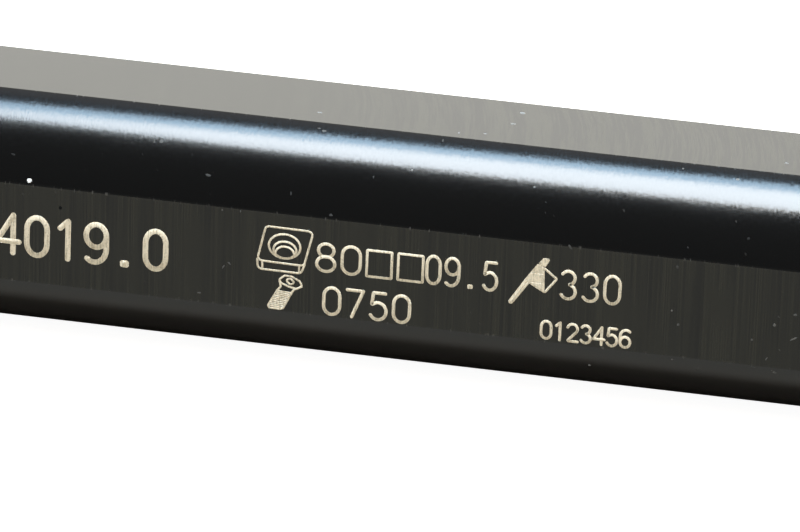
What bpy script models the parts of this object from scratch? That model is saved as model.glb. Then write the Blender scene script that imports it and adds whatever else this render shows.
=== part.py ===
"""A right-hand boring bar: a round steel shank with milled flats, and a head that holds a rhombic insert.

The bar runs along X with its head at -X, and lies on its bottom flat with the cutting nose towards -Y.
The origin is the middle of the bottom flat, halfway along the bar. Lengths are in metres.
"""

import math

import bmesh
import bpy
from mathutils import Matrix, Vector

# Shank: 3/4 inch round stock, 10 inches long, with its flats milled this deep below the round.
SHANK_DIAMETER = 0.01905
OVERALL_LENGTH = 0.254
SEAT_FLAT_DEPTH = 0.00075
MARKED_FLAT_DEPTH = 0.00075
MARKED_FLAT_RUNOUT = 0.0250
REAR_CHAMFER = 0.0010

# Head: how far the nose stands out from the shank's side and from the steel behind it, and the far side's
# step out from the shank, and its roundness.
NOSE_OVERHANG = 0.003175
NOSE_PROTRUSION = 0.0010
FAR_SIDE_STEP = 0.00015
FAR_SIDE_RADIUS = 0.0122
HEAD_TAPER = 0.0100
FRONT_SETBACK = 0.0005
FRONT_RELIEF = math.radians(8)

# The insert's seat rises from the nose towards the far side, so that the insert clears the wall of the bore.
SEAT_TILT = math.radians(8)

# Gullet: the room for chips above and behind the insert.
GULLET_DROP = 0.0004
GULLET_MARGIN = 0.0015
GULLET_RADIUS = 0.0080
GULLET_SLOPE = math.radians(40)
SHOULDER_MARGIN = 0.0045
SHOULDER_SLOPE = math.radians(30)

# Insert: 80 degree rhomb with a 3/8 inch inscribed circle, 5/32 inch thick, with 7 degree clearance.
INSERT_INSCRIBED = 0.009525
INSERT_THICKNESS = 0.00397
INSERT_NOSE_RADIUS = 0.0008
INSERT_CLEARANCE = math.radians(7)
INSERT_NOSE_ANGLE = math.radians(80)
APPROACH_ANGLE = math.radians(95)
LAND_WIDTH = 0.00015
GROOVE_WIDTH = 0.0009
GROOVE_DEPTH = 0.00015
CORNER_RELIEF_RADIUS = 0.0010

# Screw: M4, countersunk at 60 degrees, with a six-lobe recess.
SCREW_THREAD = 0.0040
SCREW_HEAD_FLARE = 0.0008
SCREW_CONE = math.radians(60)
SCREW_RIM = 0.00025
SCREW_HEAD_DROP = 0.0003
SCREW_TIP_CLEARANCE = 0.00129
SCREW_TIP_CHAMFER = 0.0004
RECESS_WALL = 0.000365
RECESS_DEPTH = 0.0013
RECESS_LOBE = 0.00023

# Room left between two pieces that touch.
FIT_GAP = 0.0003

# Steps of the round stretches, and the smallest length and angle that count.
ROUND_STEPS = 128
SMALL_ROUND_STEPS = 64
CORNER_STEPS = 10
ARC_STEPS = 16
LOBES = 6
STEPS_PER_LOBE = 12
MERGE_DISTANCE = 0.000001
SMALLEST_CORNER = 0.00001
CREASE_ANGLE = math.radians(20)

# Sizes and places that follow from the ones above.
SHANK_RADIUS = SHANK_DIAMETER / 2
AXIS_HEIGHT = SHANK_RADIUS - SEAT_FLAT_DEPTH
TOP_HEIGHT = 2 * AXIS_HEIGHT
FRONT_X = -OVERALL_LENGTH / 2
REAR_X = OVERALL_LENGTH / 2
NOSE_Y = -(SHANK_RADIUS + NOSE_OVERHANG)

# The seat's frame: X along the bar as before, Y inwards from the nose, and Z up from the insert's top.
SEAT_FRAME = Matrix.Translation((0, NOSE_Y, AXIS_HEIGHT)) @ Matrix.Rotation(SEAT_TILT, 4, "X")

CORNER_TURN = math.pi - INSERT_NOSE_ANGLE
NOSE_DIRECTION = 2 * math.pi - APPROACH_ANGLE - INSERT_NOSE_ANGLE / 2
FRONT_NORMAL = NOSE_DIRECTION - CORNER_TURN / 2
INSERT_HALF = INSERT_INSCRIBED / 2
NOSE_REACH = (INSERT_HALF - INSERT_NOSE_RADIUS) / math.cos(CORNER_TURN / 2)
INSERT_X = FRONT_X + INSERT_NOSE_RADIUS - NOSE_REACH * math.cos(NOSE_DIRECTION)
INSERT_Y = INSERT_NOSE_RADIUS - NOSE_REACH * math.sin(NOSE_DIRECTION)

SCREW_RADIUS = SCREW_THREAD / 2
SCREW_HEAD_RADIUS = SCREW_RADIUS + SCREW_HEAD_FLARE
SCREW_HOLE_RADIUS = SCREW_RADIUS + FIT_GAP
CONE_SPREAD = math.tan(SCREW_CONE / 2)
CONE_GAP = FIT_GAP / math.cos(SCREW_CONE / 2)
STEEL_DEPTH = (AXIS_HEIGHT + INSERT_Y * math.sin(SEAT_TILT)) / math.cos(SEAT_TILT)
SCREW_TIP = SCREW_TIP_CLEARANCE - STEEL_DEPTH

GULLET_FLOOR_END = 2 * INSERT_X - FRONT_X + GULLET_MARGIN
SHOULDER_Y = 2 * INSERT_Y + SHOULDER_MARGIN
GULLET_ARC_RISE = GULLET_RADIUS * (1 - math.cos(GULLET_SLOPE))
GULLET_ARC_RUN = GULLET_RADIUS * math.sin(GULLET_SLOPE)
GULLET_RAMP_RUN = (AXIS_HEIGHT + GULLET_DROP - GULLET_ARC_RISE) / math.tan(GULLET_SLOPE)

HEAD_RADIUS = SHANK_RADIUS + NOSE_OVERHANG - NOSE_PROTRUSION
HEAD_END = GULLET_FLOOR_END + GULLET_ARC_RUN + GULLET_RAMP_RUN
MARKED_FLAT_START = HEAD_END + HEAD_TAPER

# How far a cutter reaches past what it cuts.
CUT_REACH = 2 * HEAD_RADIUS

# Frames that stand a flat outline up, in the XZ plane or the YZ plane, and one that lays a turned solid down.
SIDE_FRAME = Matrix.Rotation(math.pi / 2, 4, "X")
CROSS_FRAME = Matrix(((0, 0, 1, 0), (1, 0, 0, 0), (0, 1, 0, 0), (0, 0, 0, 1)))
BAR_AXIS = Matrix.Translation((0, 0, AXIS_HEIGHT)) @ Matrix.Rotation(math.pi / 2, 4, "Y")


def clear_scene():
    for obj in list(bpy.data.objects):
        bpy.data.objects.remove(obj)


def new_collection(name):
    collection = bpy.data.collections.new(name)
    bpy.context.scene.collection.children.link(collection)
    return collection


def new_object(name, mesh, collection, frame=Matrix.Identity(4)):
    obj = bpy.data.objects.new(name, mesh)
    obj.matrix_world = frame
    collection.objects.link(obj)
    return obj


def as_cutter(obj):
    obj.hide_render = True
    obj.display_type = "WIRE"
    return obj


def polar(radius, angle):
    return radius * math.cos(angle), radius * math.sin(angle)


def arc(centre, radius, start, end, steps):
    """Points along a circular arc, its two ends included."""
    points = []
    for step in range(steps + 1):
        x, y = polar(radius, start + (end - start) * step / steps)
        points.append((centre[0] + x, centre[1] + y))
    return points


def evaluated_mesh(obj):
    bpy.context.view_layer.update()
    graph = bpy.context.evaluated_depsgraph_get()
    return bpy.data.meshes.new_from_object(obj.evaluated_get(graph))


def turned(name, profile, steps, collection, frame):
    """A turned solid: the profile's (radius, height) points run from the top of the axis to its bottom."""
    mesh = bpy.data.meshes.new(name)
    edges = [(index, index + 1) for index in range(len(profile) - 1)]
    mesh.from_pydata([(radius, 0, height) for radius, height in profile], edges, [])
    obj = new_object(name, mesh, collection, frame)
    screw = obj.modifiers.new("turn", "SCREW")
    screw.steps = steps
    screw.render_steps = steps
    screw.use_merge_vertices = True
    screw.merge_threshold = MERGE_DISTANCE
    return obj


def prism(name, outline, thickness, collection, frame):
    """A closed outline in the frame's XY plane, extruded by half the thickness to both sides."""
    curve = bpy.data.curves.new(name, "CURVE")
    curve.dimensions = "2D"
    curve.fill_mode = "BOTH"
    curve.extrude = thickness / 2
    spline = curve.splines.new("POLY")
    spline.points.add(len(outline) - 1)
    for point, (x, y) in zip(spline.points, outline):
        point.co = (x, y, 0, 1)
    spline.use_cyclic_u = True
    drawn = new_object(name + "_outline", curve, collection, frame)
    mesh = evaluated_mesh(drawn)
    weld(mesh)
    placed = new_object(name, mesh, collection, drawn.matrix_world.copy())
    bpy.data.objects.remove(drawn)
    return placed


def weld(mesh):
    solid = bmesh.new()
    solid.from_mesh(mesh)
    bmesh.ops.remove_doubles(solid, verts=solid.verts, dist=MERGE_DISTANCE)
    bmesh.ops.recalc_face_normals(solid, faces=solid.faces)
    solid.to_mesh(mesh)
    solid.free()


def lofted(name, rings, collection, frame):
    """A solid through rings of equal count, with flat ends on the first and the last."""
    solid = bmesh.new()
    loops = [[solid.verts.new(point) for point in ring] for ring in rings]
    count = len(loops[0])
    for lower, upper in zip(loops, loops[1:]):
        for index in range(count):
            after = (index + 1) % count
            solid.faces.new((lower[index], lower[after], upper[after], upper[index]))
    solid.faces.new(loops[0])
    solid.faces.new(loops[-1])
    bmesh.ops.recalc_face_normals(solid, faces=solid.faces)
    mesh = bpy.data.meshes.new(name)
    solid.to_mesh(mesh)
    solid.free()
    return new_object(name, mesh, collection, frame)


def block_beyond(name, point, normal, size, collection):
    """A cube on the far side of a plane, which the point and the normal give."""
    bpy.ops.mesh.primitive_cube_add(size=size)
    block = bpy.context.object
    block.name = name
    block.rotation_euler = normal.to_track_quat("X", "Z").to_euler()
    block.location = point + normal.normalized() * size / 2
    for holder in list(block.users_collection):
        holder.objects.unlink(block)
    collection.objects.link(block)
    return block


def add_boolean(obj, other, operation):
    boolean = obj.modifiers.new(other.name, "BOOLEAN")
    boolean.operation = operation
    boolean.solver = "EXACT"
    boolean.object = as_cutter(other)


def finish(obj, material):
    """Makes the modifiers' result the object's own mesh, smooth where it is round and creased elsewhere."""
    mesh = evaluated_mesh(obj)
    obj.modifiers.clear()
    obj.data = mesh
    mesh.name = obj.name
    mesh.shade_smooth()
    mesh.set_sharp_from_angle(angle=CREASE_ANGLE)
    mesh.materials.clear()
    mesh.materials.append(material)


def finish_material(name, colour, roughness, metallic):
    material = bpy.data.materials.new(name)
    material.use_nodes = True
    shader = material.node_tree.nodes["Principled BSDF"]
    shader.inputs["Base Color"].default_value = (*colour, 1)
    shader.inputs["Roughness"].default_value = roughness
    shader.inputs["Metallic"].default_value = metallic
    return material


def black_oxide_steel():
    return finish_material("black_oxide_steel", (0.045, 0.044, 0.042), 0.38, 0.9)


def grey_carbide():
    return finish_material("grey_carbide", (0.28, 0.27, 0.26), 0.35, 0.8)


def screw_steel():
    return finish_material("screw_steel", (0.16, 0.16, 0.17), 0.3, 1.0)


def insert_outline(inset):
    """The insert's outline from above, drawn in by the inset, or out where that is negative."""
    radius = max(INSERT_NOSE_RADIUS - inset, SMALLEST_CORNER)
    half = INSERT_HALF - inset
    turns = (CORNER_TURN, math.pi - CORNER_TURN, CORNER_TURN, math.pi - CORNER_TURN)
    start = FRONT_NORMAL
    outline = []
    for turn in turns:
        corner = polar((half - radius) / math.cos(turn / 2), start + turn / 2)
        outline += arc(corner, radius, start, start + turn, CORNER_STEPS)
        start += turn
    return outline


def level_ring(inset, height):
    return [(x, y, height) for x, y in insert_outline(inset)]


def clearance_inset(height):
    """How far the insert's sides have drawn in at a height, which is under 0 below the insert's top."""
    return -height * math.tan(INSERT_CLEARANCE)


def insert_frame():
    """The seat's frame, moved to the middle of the insert's top."""
    return SEAT_FRAME @ Matrix.Translation((INSERT_X, INSERT_Y, 0))


def build_bar_blank(parts, cutters):
    """The turned blank: the shank, and the thicker head."""
    shank = [
        (0, REAR_X),
        (SHANK_RADIUS - REAR_CHAMFER, REAR_X),
        (SHANK_RADIUS, REAR_X - REAR_CHAMFER),
        (SHANK_RADIUS, HEAD_END - HEAD_TAPER),
        (0, HEAD_END - HEAD_TAPER),
    ]
    bar = turned("bar", shank, ROUND_STEPS, parts, BAR_AXIS)
    add_boolean(bar, head_blank(cutters), "UNION")
    return bar


def head_blank(cutters):
    """The head: round about the shank's axis near the nose, and drawn in on its far side."""
    taper_end = HEAD_END + 2 * HEAD_TAPER
    profile = [
        (0, taper_end),
        (2 * SHANK_RADIUS - HEAD_RADIUS, taper_end),
        (HEAD_RADIUS, HEAD_END),
        (HEAD_RADIUS, FRONT_X),
        (0, FRONT_X),
    ]
    head = turned("head_blank", profile, ROUND_STEPS, cutters, BAR_AXIS)
    add_boolean(head, far_side_trim(taper_end + HEAD_TAPER, cutters), "INTERSECT")
    return head


def far_side_trim(rear_end, cutters):
    """A round about an axis nearer the nose, which leaves the head's far side little proud of the shank."""
    front_end = FRONT_X - HEAD_TAPER
    profile = [(0, rear_end), (FAR_SIDE_RADIUS, rear_end), (FAR_SIDE_RADIUS, front_end), (0, front_end)]
    axis_y = SHANK_RADIUS + FAR_SIDE_STEP - FAR_SIDE_RADIUS
    frame = Matrix.Translation((0, axis_y, 0)) @ BAR_AXIS
    return turned("far_side_trim", profile, ROUND_STEPS, cutters, frame)


def seat_flat_cutters(cutters):
    """The flats above and below, which run the whole length of the bar."""
    size = OVERALL_LENGTH + 2 * CUT_REACH
    below = block_beyond("bottom_flat_cutter", Vector((0, 0, 0)), Vector((0, 0, -1)), size, cutters)
    above = block_beyond("top_flat_cutter", Vector((0, 0, TOP_HEIGHT)), Vector((0, 0, 1)), size, cutters)
    return [below, above]


def marked_flat_cutter(cutters):
    """The flat on the nose's side, which a round cutter leaves where the head begins to swell."""
    flat_y = -(SHANK_RADIUS - MARKED_FLAT_DEPTH)
    outer_y = flat_y - MARKED_FLAT_RUNOUT
    runout = arc((MARKED_FLAT_START, outer_y), MARKED_FLAT_RUNOUT, math.pi, math.pi / 2, ARC_STEPS)
    outline = runout + [(REAR_X + CUT_REACH, flat_y), (REAR_X + CUT_REACH, outer_y)]
    return prism("marked_flat_cutter", outline, 4 * CUT_REACH, cutters, Matrix.Identity(4))


def gullet_cutter(cutters):
    """The gullet: a flat floor, a round and a ramp behind it, and a sloping shoulder on its far side."""
    front = FRONT_X - CUT_REACH
    bend = arc(
        (GULLET_FLOOR_END, GULLET_RADIUS - GULLET_DROP),
        GULLET_RADIUS,
        -math.pi / 2,
        GULLET_SLOPE - math.pi / 2,
        ARC_STEPS,
    )
    ramp_x, ramp_z = polar(CUT_REACH, GULLET_SLOPE)
    ramp_top = (bend[-1][0] + ramp_x, bend[-1][1] + ramp_z)
    side = [(front, -GULLET_DROP)] + bend + [ramp_top, (front, ramp_top[1])]
    gullet = prism("gullet_cutter", side, 4 * CUT_REACH, cutters, SEAT_FRAME @ SIDE_FRAME)
    add_boolean(gullet, shoulder_cutter(cutters), "INTERSECT")
    return gullet


def shoulder_cutter(cutters):
    """The gullet's cross section, from a little below its floor to the slope beyond the shoulder."""
    bottom = -2 * GULLET_DROP
    top = CUT_REACH * math.tan(SHOULDER_SLOPE) - GULLET_DROP
    cross = [
        (-CUT_REACH, bottom),
        (SHOULDER_Y - GULLET_DROP / math.tan(SHOULDER_SLOPE), bottom),
        (SHOULDER_Y + CUT_REACH, top),
        (-CUT_REACH, top),
    ]
    return prism("shoulder_cutter", cross, 2 * OVERALL_LENGTH, cutters, SEAT_FRAME @ CROSS_FRAME)


def front_cutter(cutters):
    """The end face, parallel to the front cutting edge and set back from it, leaning back below it."""
    normal = Vector((*polar(math.cos(FRONT_RELIEF), FRONT_NORMAL), -math.sin(FRONT_RELIEF)))
    point = insert_frame() @ Vector((*polar(INSERT_HALF - FRONT_SETBACK, FRONT_NORMAL), 0))
    return block_beyond("front_cutter", point, SEAT_FRAME.to_3x3() @ normal, 4 * CUT_REACH, cutters)


def pocket_cutter(cutters):
    """The insert's seat, with slanted walls a gap away from the insert, and open above it."""
    heights = (-INSERT_THICKNESS - FIT_GAP, FIT_GAP)
    rings = [level_ring(clearance_inset(height) - FIT_GAP, height) for height in heights]
    return lofted("pocket_cutter", rings, cutters, insert_frame())


def drill(name, radius, depth, cutters, frame):
    """A cylinder from above the insert's top down to a depth below it."""
    profile = [(0, FIT_GAP), (radius, FIT_GAP), (radius, -depth), (0, -depth)]
    return turned(name, profile, SMALL_ROUND_STEPS, cutters, frame)


def corner_relief_cutter(cutters):
    """The drilled relief at the seat's inner corner, which keeps the insert's own corner free."""
    x, y = polar(NOSE_REACH + FIT_GAP, NOSE_DIRECTION + math.pi)
    frame = insert_frame() @ Matrix.Translation((x, y, 0))
    return drill("corner_relief_cutter", CORNER_RELIEF_RADIUS, INSERT_THICKNESS + FIT_GAP, cutters, frame)


def screw_hole_cutter(cutters):
    return drill("screw_hole_cutter", SCREW_HOLE_RADIUS, STEEL_DEPTH + CUT_REACH, cutters, insert_frame())


def build_bar(parts, cutters):
    bar = build_bar_blank(parts, cutters)
    cuts = seat_flat_cutters(cutters)
    cuts.append(marked_flat_cutter(cutters))
    cuts.append(gullet_cutter(cutters))
    cuts.append(front_cutter(cutters))
    cuts.append(pocket_cutter(cutters))
    cuts.append(corner_relief_cutter(cutters))
    cuts.append(screw_hole_cutter(cutters))
    for cutter in cuts:
        add_boolean(bar, cutter, "DIFFERENCE")
    finish(bar, black_oxide_steel())


def build_insert(parts, cutters):
    """The insert: tapered sides, a land and a chip groove along its edge, and a countersunk hole."""
    groove_end = LAND_WIDTH + GROOVE_WIDTH
    rings = [
        level_ring(clearance_inset(-INSERT_THICKNESS), -INSERT_THICKNESS),
        level_ring(0, 0),
        level_ring(LAND_WIDTH, 0),
        level_ring((LAND_WIDTH + groove_end) / 2, -GROOVE_DEPTH),
        level_ring(groove_end, 0),
    ]
    insert = lofted("insert", rings, parts, insert_frame())
    add_boolean(insert, insert_hole_cutter(cutters), "DIFFERENCE")
    finish(insert, grey_carbide())


def insert_hole_cutter(cutters):
    """The insert's hole, which leaves a gap round the screw's thread and under its cone."""
    cone_radius = SCREW_HEAD_RADIUS + CONE_GAP
    cone_top = -SCREW_HEAD_DROP - SCREW_RIM
    cone_bottom = cone_top - (cone_radius - SCREW_HOLE_RADIUS) / CONE_SPREAD
    profile = [
        (0, FIT_GAP),
        (cone_radius + (FIT_GAP - cone_top) * CONE_SPREAD, FIT_GAP),
        (SCREW_HOLE_RADIUS, cone_bottom),
        (SCREW_HOLE_RADIUS, -INSERT_THICKNESS - FIT_GAP),
        (0, -INSERT_THICKNESS - FIT_GAP),
    ]
    return turned("insert_hole_cutter", profile, SMALL_ROUND_STEPS, cutters, insert_frame())


def recess_outline():
    """The six-lobe recess from above."""
    crest = SCREW_RADIUS - RECESS_WALL
    steps = LOBES * STEPS_PER_LOBE
    angles = [2 * math.pi * step / steps for step in range(steps)]
    return [polar(crest - RECESS_LOBE * (1 - math.cos(LOBES * angle)), angle) for angle in angles]


def build_screw(parts, cutters):
    """The screw, its head a little below the insert's top and its tip inside the bar."""
    cone_top = -SCREW_HEAD_DROP - SCREW_RIM
    profile = [
        (0, -SCREW_HEAD_DROP),
        (SCREW_HEAD_RADIUS, -SCREW_HEAD_DROP),
        (SCREW_HEAD_RADIUS, cone_top),
        (SCREW_RADIUS, cone_top - SCREW_HEAD_FLARE / CONE_SPREAD),
        (SCREW_RADIUS, SCREW_TIP + SCREW_TIP_CHAMFER),
        (SCREW_RADIUS - SCREW_TIP_CHAMFER, SCREW_TIP),
        (0, SCREW_TIP),
    ]
    screw = turned("insert_screw", profile, SMALL_ROUND_STEPS, parts, insert_frame())
    recess_frame = insert_frame() @ Matrix.Translation((0, 0, -SCREW_HEAD_DROP))
    recess = prism("recess_cutter", recess_outline(), 2 * RECESS_DEPTH, cutters, recess_frame)
    add_boolean(screw, recess, "DIFFERENCE")
    finish(screw, screw_steel())


def main():
    clear_scene()
    parts = new_collection("boring_bar")
    cutters = new_collection("boring_bar_cutters")
    build_bar(parts, cutters)
    build_insert(parts, cutters)
    build_screw(parts, cutters)


main()
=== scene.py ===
"""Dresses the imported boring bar: milled and blackened steel, a ground carbide insert, its threaded
screw, size marks etched into the flat, and a little dust, under plain soft studio light.

The frame's axes hold throughout. The bar runs along X with its head at -X, lies on its bottom flat
at height 0, and turns its cutting nose towards -Y. Lengths are in metres, written as millimetres
times MM.
"""

import logging
import math
from collections.abc import Callable, Iterable, Mapping, Sequence
from dataclasses import dataclass
from enum import Enum

import bmesh
import bpy
from bmesh.types import BMesh
from bpy.types import Material, Mesh, NodeSocket, NodeTree, Object
from mathutils import Matrix, Quaternion, Vector


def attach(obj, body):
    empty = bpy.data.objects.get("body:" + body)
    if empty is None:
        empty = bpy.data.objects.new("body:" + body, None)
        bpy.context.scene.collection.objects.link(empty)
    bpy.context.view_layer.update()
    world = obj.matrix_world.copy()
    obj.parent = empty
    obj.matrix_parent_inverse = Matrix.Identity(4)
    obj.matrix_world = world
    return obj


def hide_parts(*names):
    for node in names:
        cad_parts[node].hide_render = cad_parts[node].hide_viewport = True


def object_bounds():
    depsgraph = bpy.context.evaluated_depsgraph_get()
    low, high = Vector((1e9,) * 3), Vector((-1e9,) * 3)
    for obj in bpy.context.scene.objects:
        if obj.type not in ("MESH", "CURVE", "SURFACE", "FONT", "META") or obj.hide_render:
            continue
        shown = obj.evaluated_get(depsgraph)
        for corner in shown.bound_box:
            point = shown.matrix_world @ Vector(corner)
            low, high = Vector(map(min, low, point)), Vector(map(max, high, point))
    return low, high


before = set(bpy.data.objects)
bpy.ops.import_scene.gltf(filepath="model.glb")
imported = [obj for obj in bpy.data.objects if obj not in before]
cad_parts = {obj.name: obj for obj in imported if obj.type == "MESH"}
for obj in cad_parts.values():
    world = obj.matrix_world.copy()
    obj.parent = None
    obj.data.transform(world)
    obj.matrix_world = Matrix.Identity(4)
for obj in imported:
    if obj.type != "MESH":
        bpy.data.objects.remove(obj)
CAD_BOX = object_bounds()

MM = 0.001
TINY = 1e-7
MIDDLE = 0.5
BROAD_FACE_WEIGHT = 60
ROUND_SEGMENTS = 2
LEAST_BOW_STEPS = 4
BOW_STEP = 15
SAME_POINT = 0.001
QUARTER_TURN = 90
HATCH_STEP = 0.09
SHADE = "shade"
LOG = logging.getLogger("boring_bar")

# A Size is a length in each direction, a Span two numbers that go together, a Feed what a socket takes.
Point = tuple[float, float]
Colour = tuple[float, float, float]
Size = tuple[float, ...]
Span = tuple[float, float]
Line = tuple[Point, Point]
Feed = object


class Node(Enum):
    """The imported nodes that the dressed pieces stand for."""

    BAR = "bar"
    INSERT = "insert"
    SCREW = "insert_screw"


class Cut(Enum):
    """What a boolean does with the second solid."""

    AWAY = "DIFFERENCE"
    SHARED = "INTERSECT"


class Value:
    """One output in a node tree. Its operators add Math nodes."""

    def __init__(self, graph: "Graph", socket: NodeSocket) -> None:
        """Holds the socket and the graph that it belongs to."""
        self.graph = graph
        self.socket = socket

    def also(self, name: str) -> "Value":
        """Another output of the same node."""
        return Value(self.graph, self.socket.node.outputs[name])

    def math(self, operation: str, *others: Feed) -> "Value":
        """A Math node that starts from this value."""
        return self.graph.math(operation, self, *others)

    def __add__(self, other: Feed) -> "Value":
        """This value plus the other."""
        return self.math("ADD", other)

    def __radd__(self, other: Feed) -> "Value":
        """The other plus this value."""
        return self.math("ADD", other)

    def __sub__(self, other: Feed) -> "Value":
        """This value minus the other."""
        return self.math("SUBTRACT", other)

    def __rsub__(self, other: Feed) -> "Value":
        """The other minus this value."""
        return self.graph.math("SUBTRACT", other, self)

    def __mul__(self, other: Feed) -> "Value":
        """This value times the other."""
        return self.math("MULTIPLY", other)

    def __rmul__(self, other: Feed) -> "Value":
        """The other times this value."""
        return self.math("MULTIPLY", other)

    def __truediv__(self, other: Feed) -> "Value":
        """This value over the other."""
        return self.math("DIVIDE", other)

    def __neg__(self) -> "Value":
        """This value with its sign changed."""
        return self.math("MULTIPLY", -1.0)

    def __abs__(self) -> "Value":
        """This value without its sign."""
        return self.math("ABSOLUTE")

    def swing(self, depth: Feed) -> "Value":
        """How far this value, from 0 to 1, lies off its middle, times a depth."""
        return (self - MIDDLE) * depth


class Graph:
    """Writes a node tree as expressions."""

    def __init__(self, tree: NodeTree) -> None:
        """Holds the tree that the nodes go into."""
        self.tree = tree

    def add(
        self,
        kind: str,
        settings: Mapping[str, object] | None = None,
        sockets: Mapping[int | str, Feed] | None = None,
        output: int | str = 0,
    ) -> Value:
        """Adds a node.

        Args:
            kind: The node's type.
            settings: Its own settings, which are set first.
            sockets: What goes into its sockets, by name or number: a Value, a constant, or a list of Values.
            output: The output to return.

        Returns:
            That output.
        """
        node = self.tree.nodes.new(kind)
        for name, setting in (settings or {}).items():
            setattr(node, name, setting)
        for key, feed in (sockets or {}).items():
            self.feed(node.inputs[key], feed)
        return Value(self, node.outputs[output])

    def feed(self, socket: NodeSocket, feed: Feed) -> None:
        """Puts a constant, a link or several links into a socket.

        Args:
            socket: The socket.
            feed: A constant, a Value, or a list of Values.
        """
        if isinstance(feed, list):
            for one in feed:
                self.feed(socket, one)
        elif isinstance(feed, Value):
            self.tree.links.new(feed.socket, socket)
        else:
            socket.default_value = feed

    def math(self, operation: str, *feeds: Feed) -> Value:
        """A Math node on these feeds."""
        return self.add("ShaderNodeMath", {"operation": operation}, dict(enumerate(feeds)))

    def rise(self, value: Feed, low: Feed, high: Feed) -> Value:
        """A smooth step: 0 up to the low edge and 1 from the high one."""
        settings = {"interpolation_type": "SMOOTHSTEP"}
        return self.add("ShaderNodeMapRange", settings, {"Value": value, "From Min": low, "From Max": high})

    def point(self, x: Feed, y: Feed, z: Feed = 0.0) -> Value:
        """A vector of three values."""
        return self.add("ShaderNodeCombineXYZ", {}, {"X": x, "Y": y, "Z": z})

    def split(self, vector: Value) -> tuple[Value, Value, Value]:
        """A vector's three values."""
        first = self.add("ShaderNodeSeparateXYZ", {}, {0: vector})
        return first, first.also("Y"), first.also("Z")

    def noise(self, place: Value, detail: float = 2.0, roughness: float = 0.5) -> Value:
        """Smooth noise from 0 to 1, whose grains are about one unit of the place."""
        sockets = {"Vector": place, "Scale": 1.0, "Detail": detail, "Roughness": roughness}
        return self.add("ShaderNodeTexNoise", {"noise_dimensions": "3D"}, sockets)

    def grains(
        self, place: Sequence[Value], size: Size, detail: float = 2.0, roughness: float = 0.5
    ) -> Value:
        """Smooth noise from 0 to 1, whose grains have a size of their own in each direction.

        Args:
            place: The point, as two or three values.
            size: The length of a grain along each of them.
            detail: How many finer layers of noise it has.
            roughness: How strong each layer is against the one before.

        Returns:
            The noise.
        """
        point = self.point(*(value / length for value, length in zip(place, size)))
        return self.noise(point, detail, roughness)

    def mix(self, share: Feed, first: Feed, second: Feed) -> Value:
        """A colour that goes from the first to the second as the share goes from 0 to 1."""
        sockets = {0: share, 6: opaque(first), 7: opaque(second)}
        return self.add("ShaderNodeMix", {"data_type": "RGBA"}, sockets, 2)

    def bump(self, height: Value, depth: float, normal: Value | None = None) -> Value:
        """A normal that follows a height from 0 to 1, which stands for this depth."""
        base = {"Normal": normal} if normal else {}
        return self.add("ShaderNodeBump", {}, {"Strength": 1.0, "Distance": depth, "Height": height, **base})


def opaque(feed: Feed) -> Feed:
    """A colour with its fourth number, or the feed as it is."""
    return (*feed, 1.0) if isinstance(feed, tuple) else feed


@dataclass(frozen=True)
class Finish:
    """What every finish holds: its name, colour and fixed shader numbers."""

    name: str
    colour: Colour
    roughness: float
    metallic: float = 0.0
    gloss: float = 0.5
    glow: float = 0.0

    def make(self) -> Material:
        """Makes the material, with its pattern.

        Returns:
            The material.
        """
        material = bpy.data.materials.new(self.name)
        material.use_nodes = True
        shader = material.node_tree.nodes["Principled BSDF"]
        fixed = {
            "Base Color": opaque(self.colour),
            "Roughness": self.roughness,
            "Metallic": self.metallic,
            "Specular IOR Level": self.gloss,
            "Emission Strength": self.glow,
        }
        for name, number in fixed.items():
            shader.inputs[name].default_value = number
        graph = Graph(material.node_tree)
        place = graph.add("ShaderNodeTexCoord", {}, {}, "Object")
        for name, feed in self.pattern(graph, place).items():
            graph.feed(shader.inputs[name], feed)
        return material

    def pattern(self, graph: Graph, place: Value) -> dict[str, Value]:
        """What changes over the surface, by shader socket.

        Args:
            graph: The material's graph.
            place: The point on the surface.

        Returns:
            A value for each socket that varies.
        """
        raise NotImplementedError

    def dimmed(self, share: float) -> Colour:
        """The finish's colour, darkened to this share."""
        return tuple(channel * share for channel in self.colour)


@dataclass(frozen=True)
class Spot:
    """A point on the bar's skin, told in the bar's own directions."""

    graph: Graph
    along: Value
    across: Value
    height: Value
    around: Value


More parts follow.
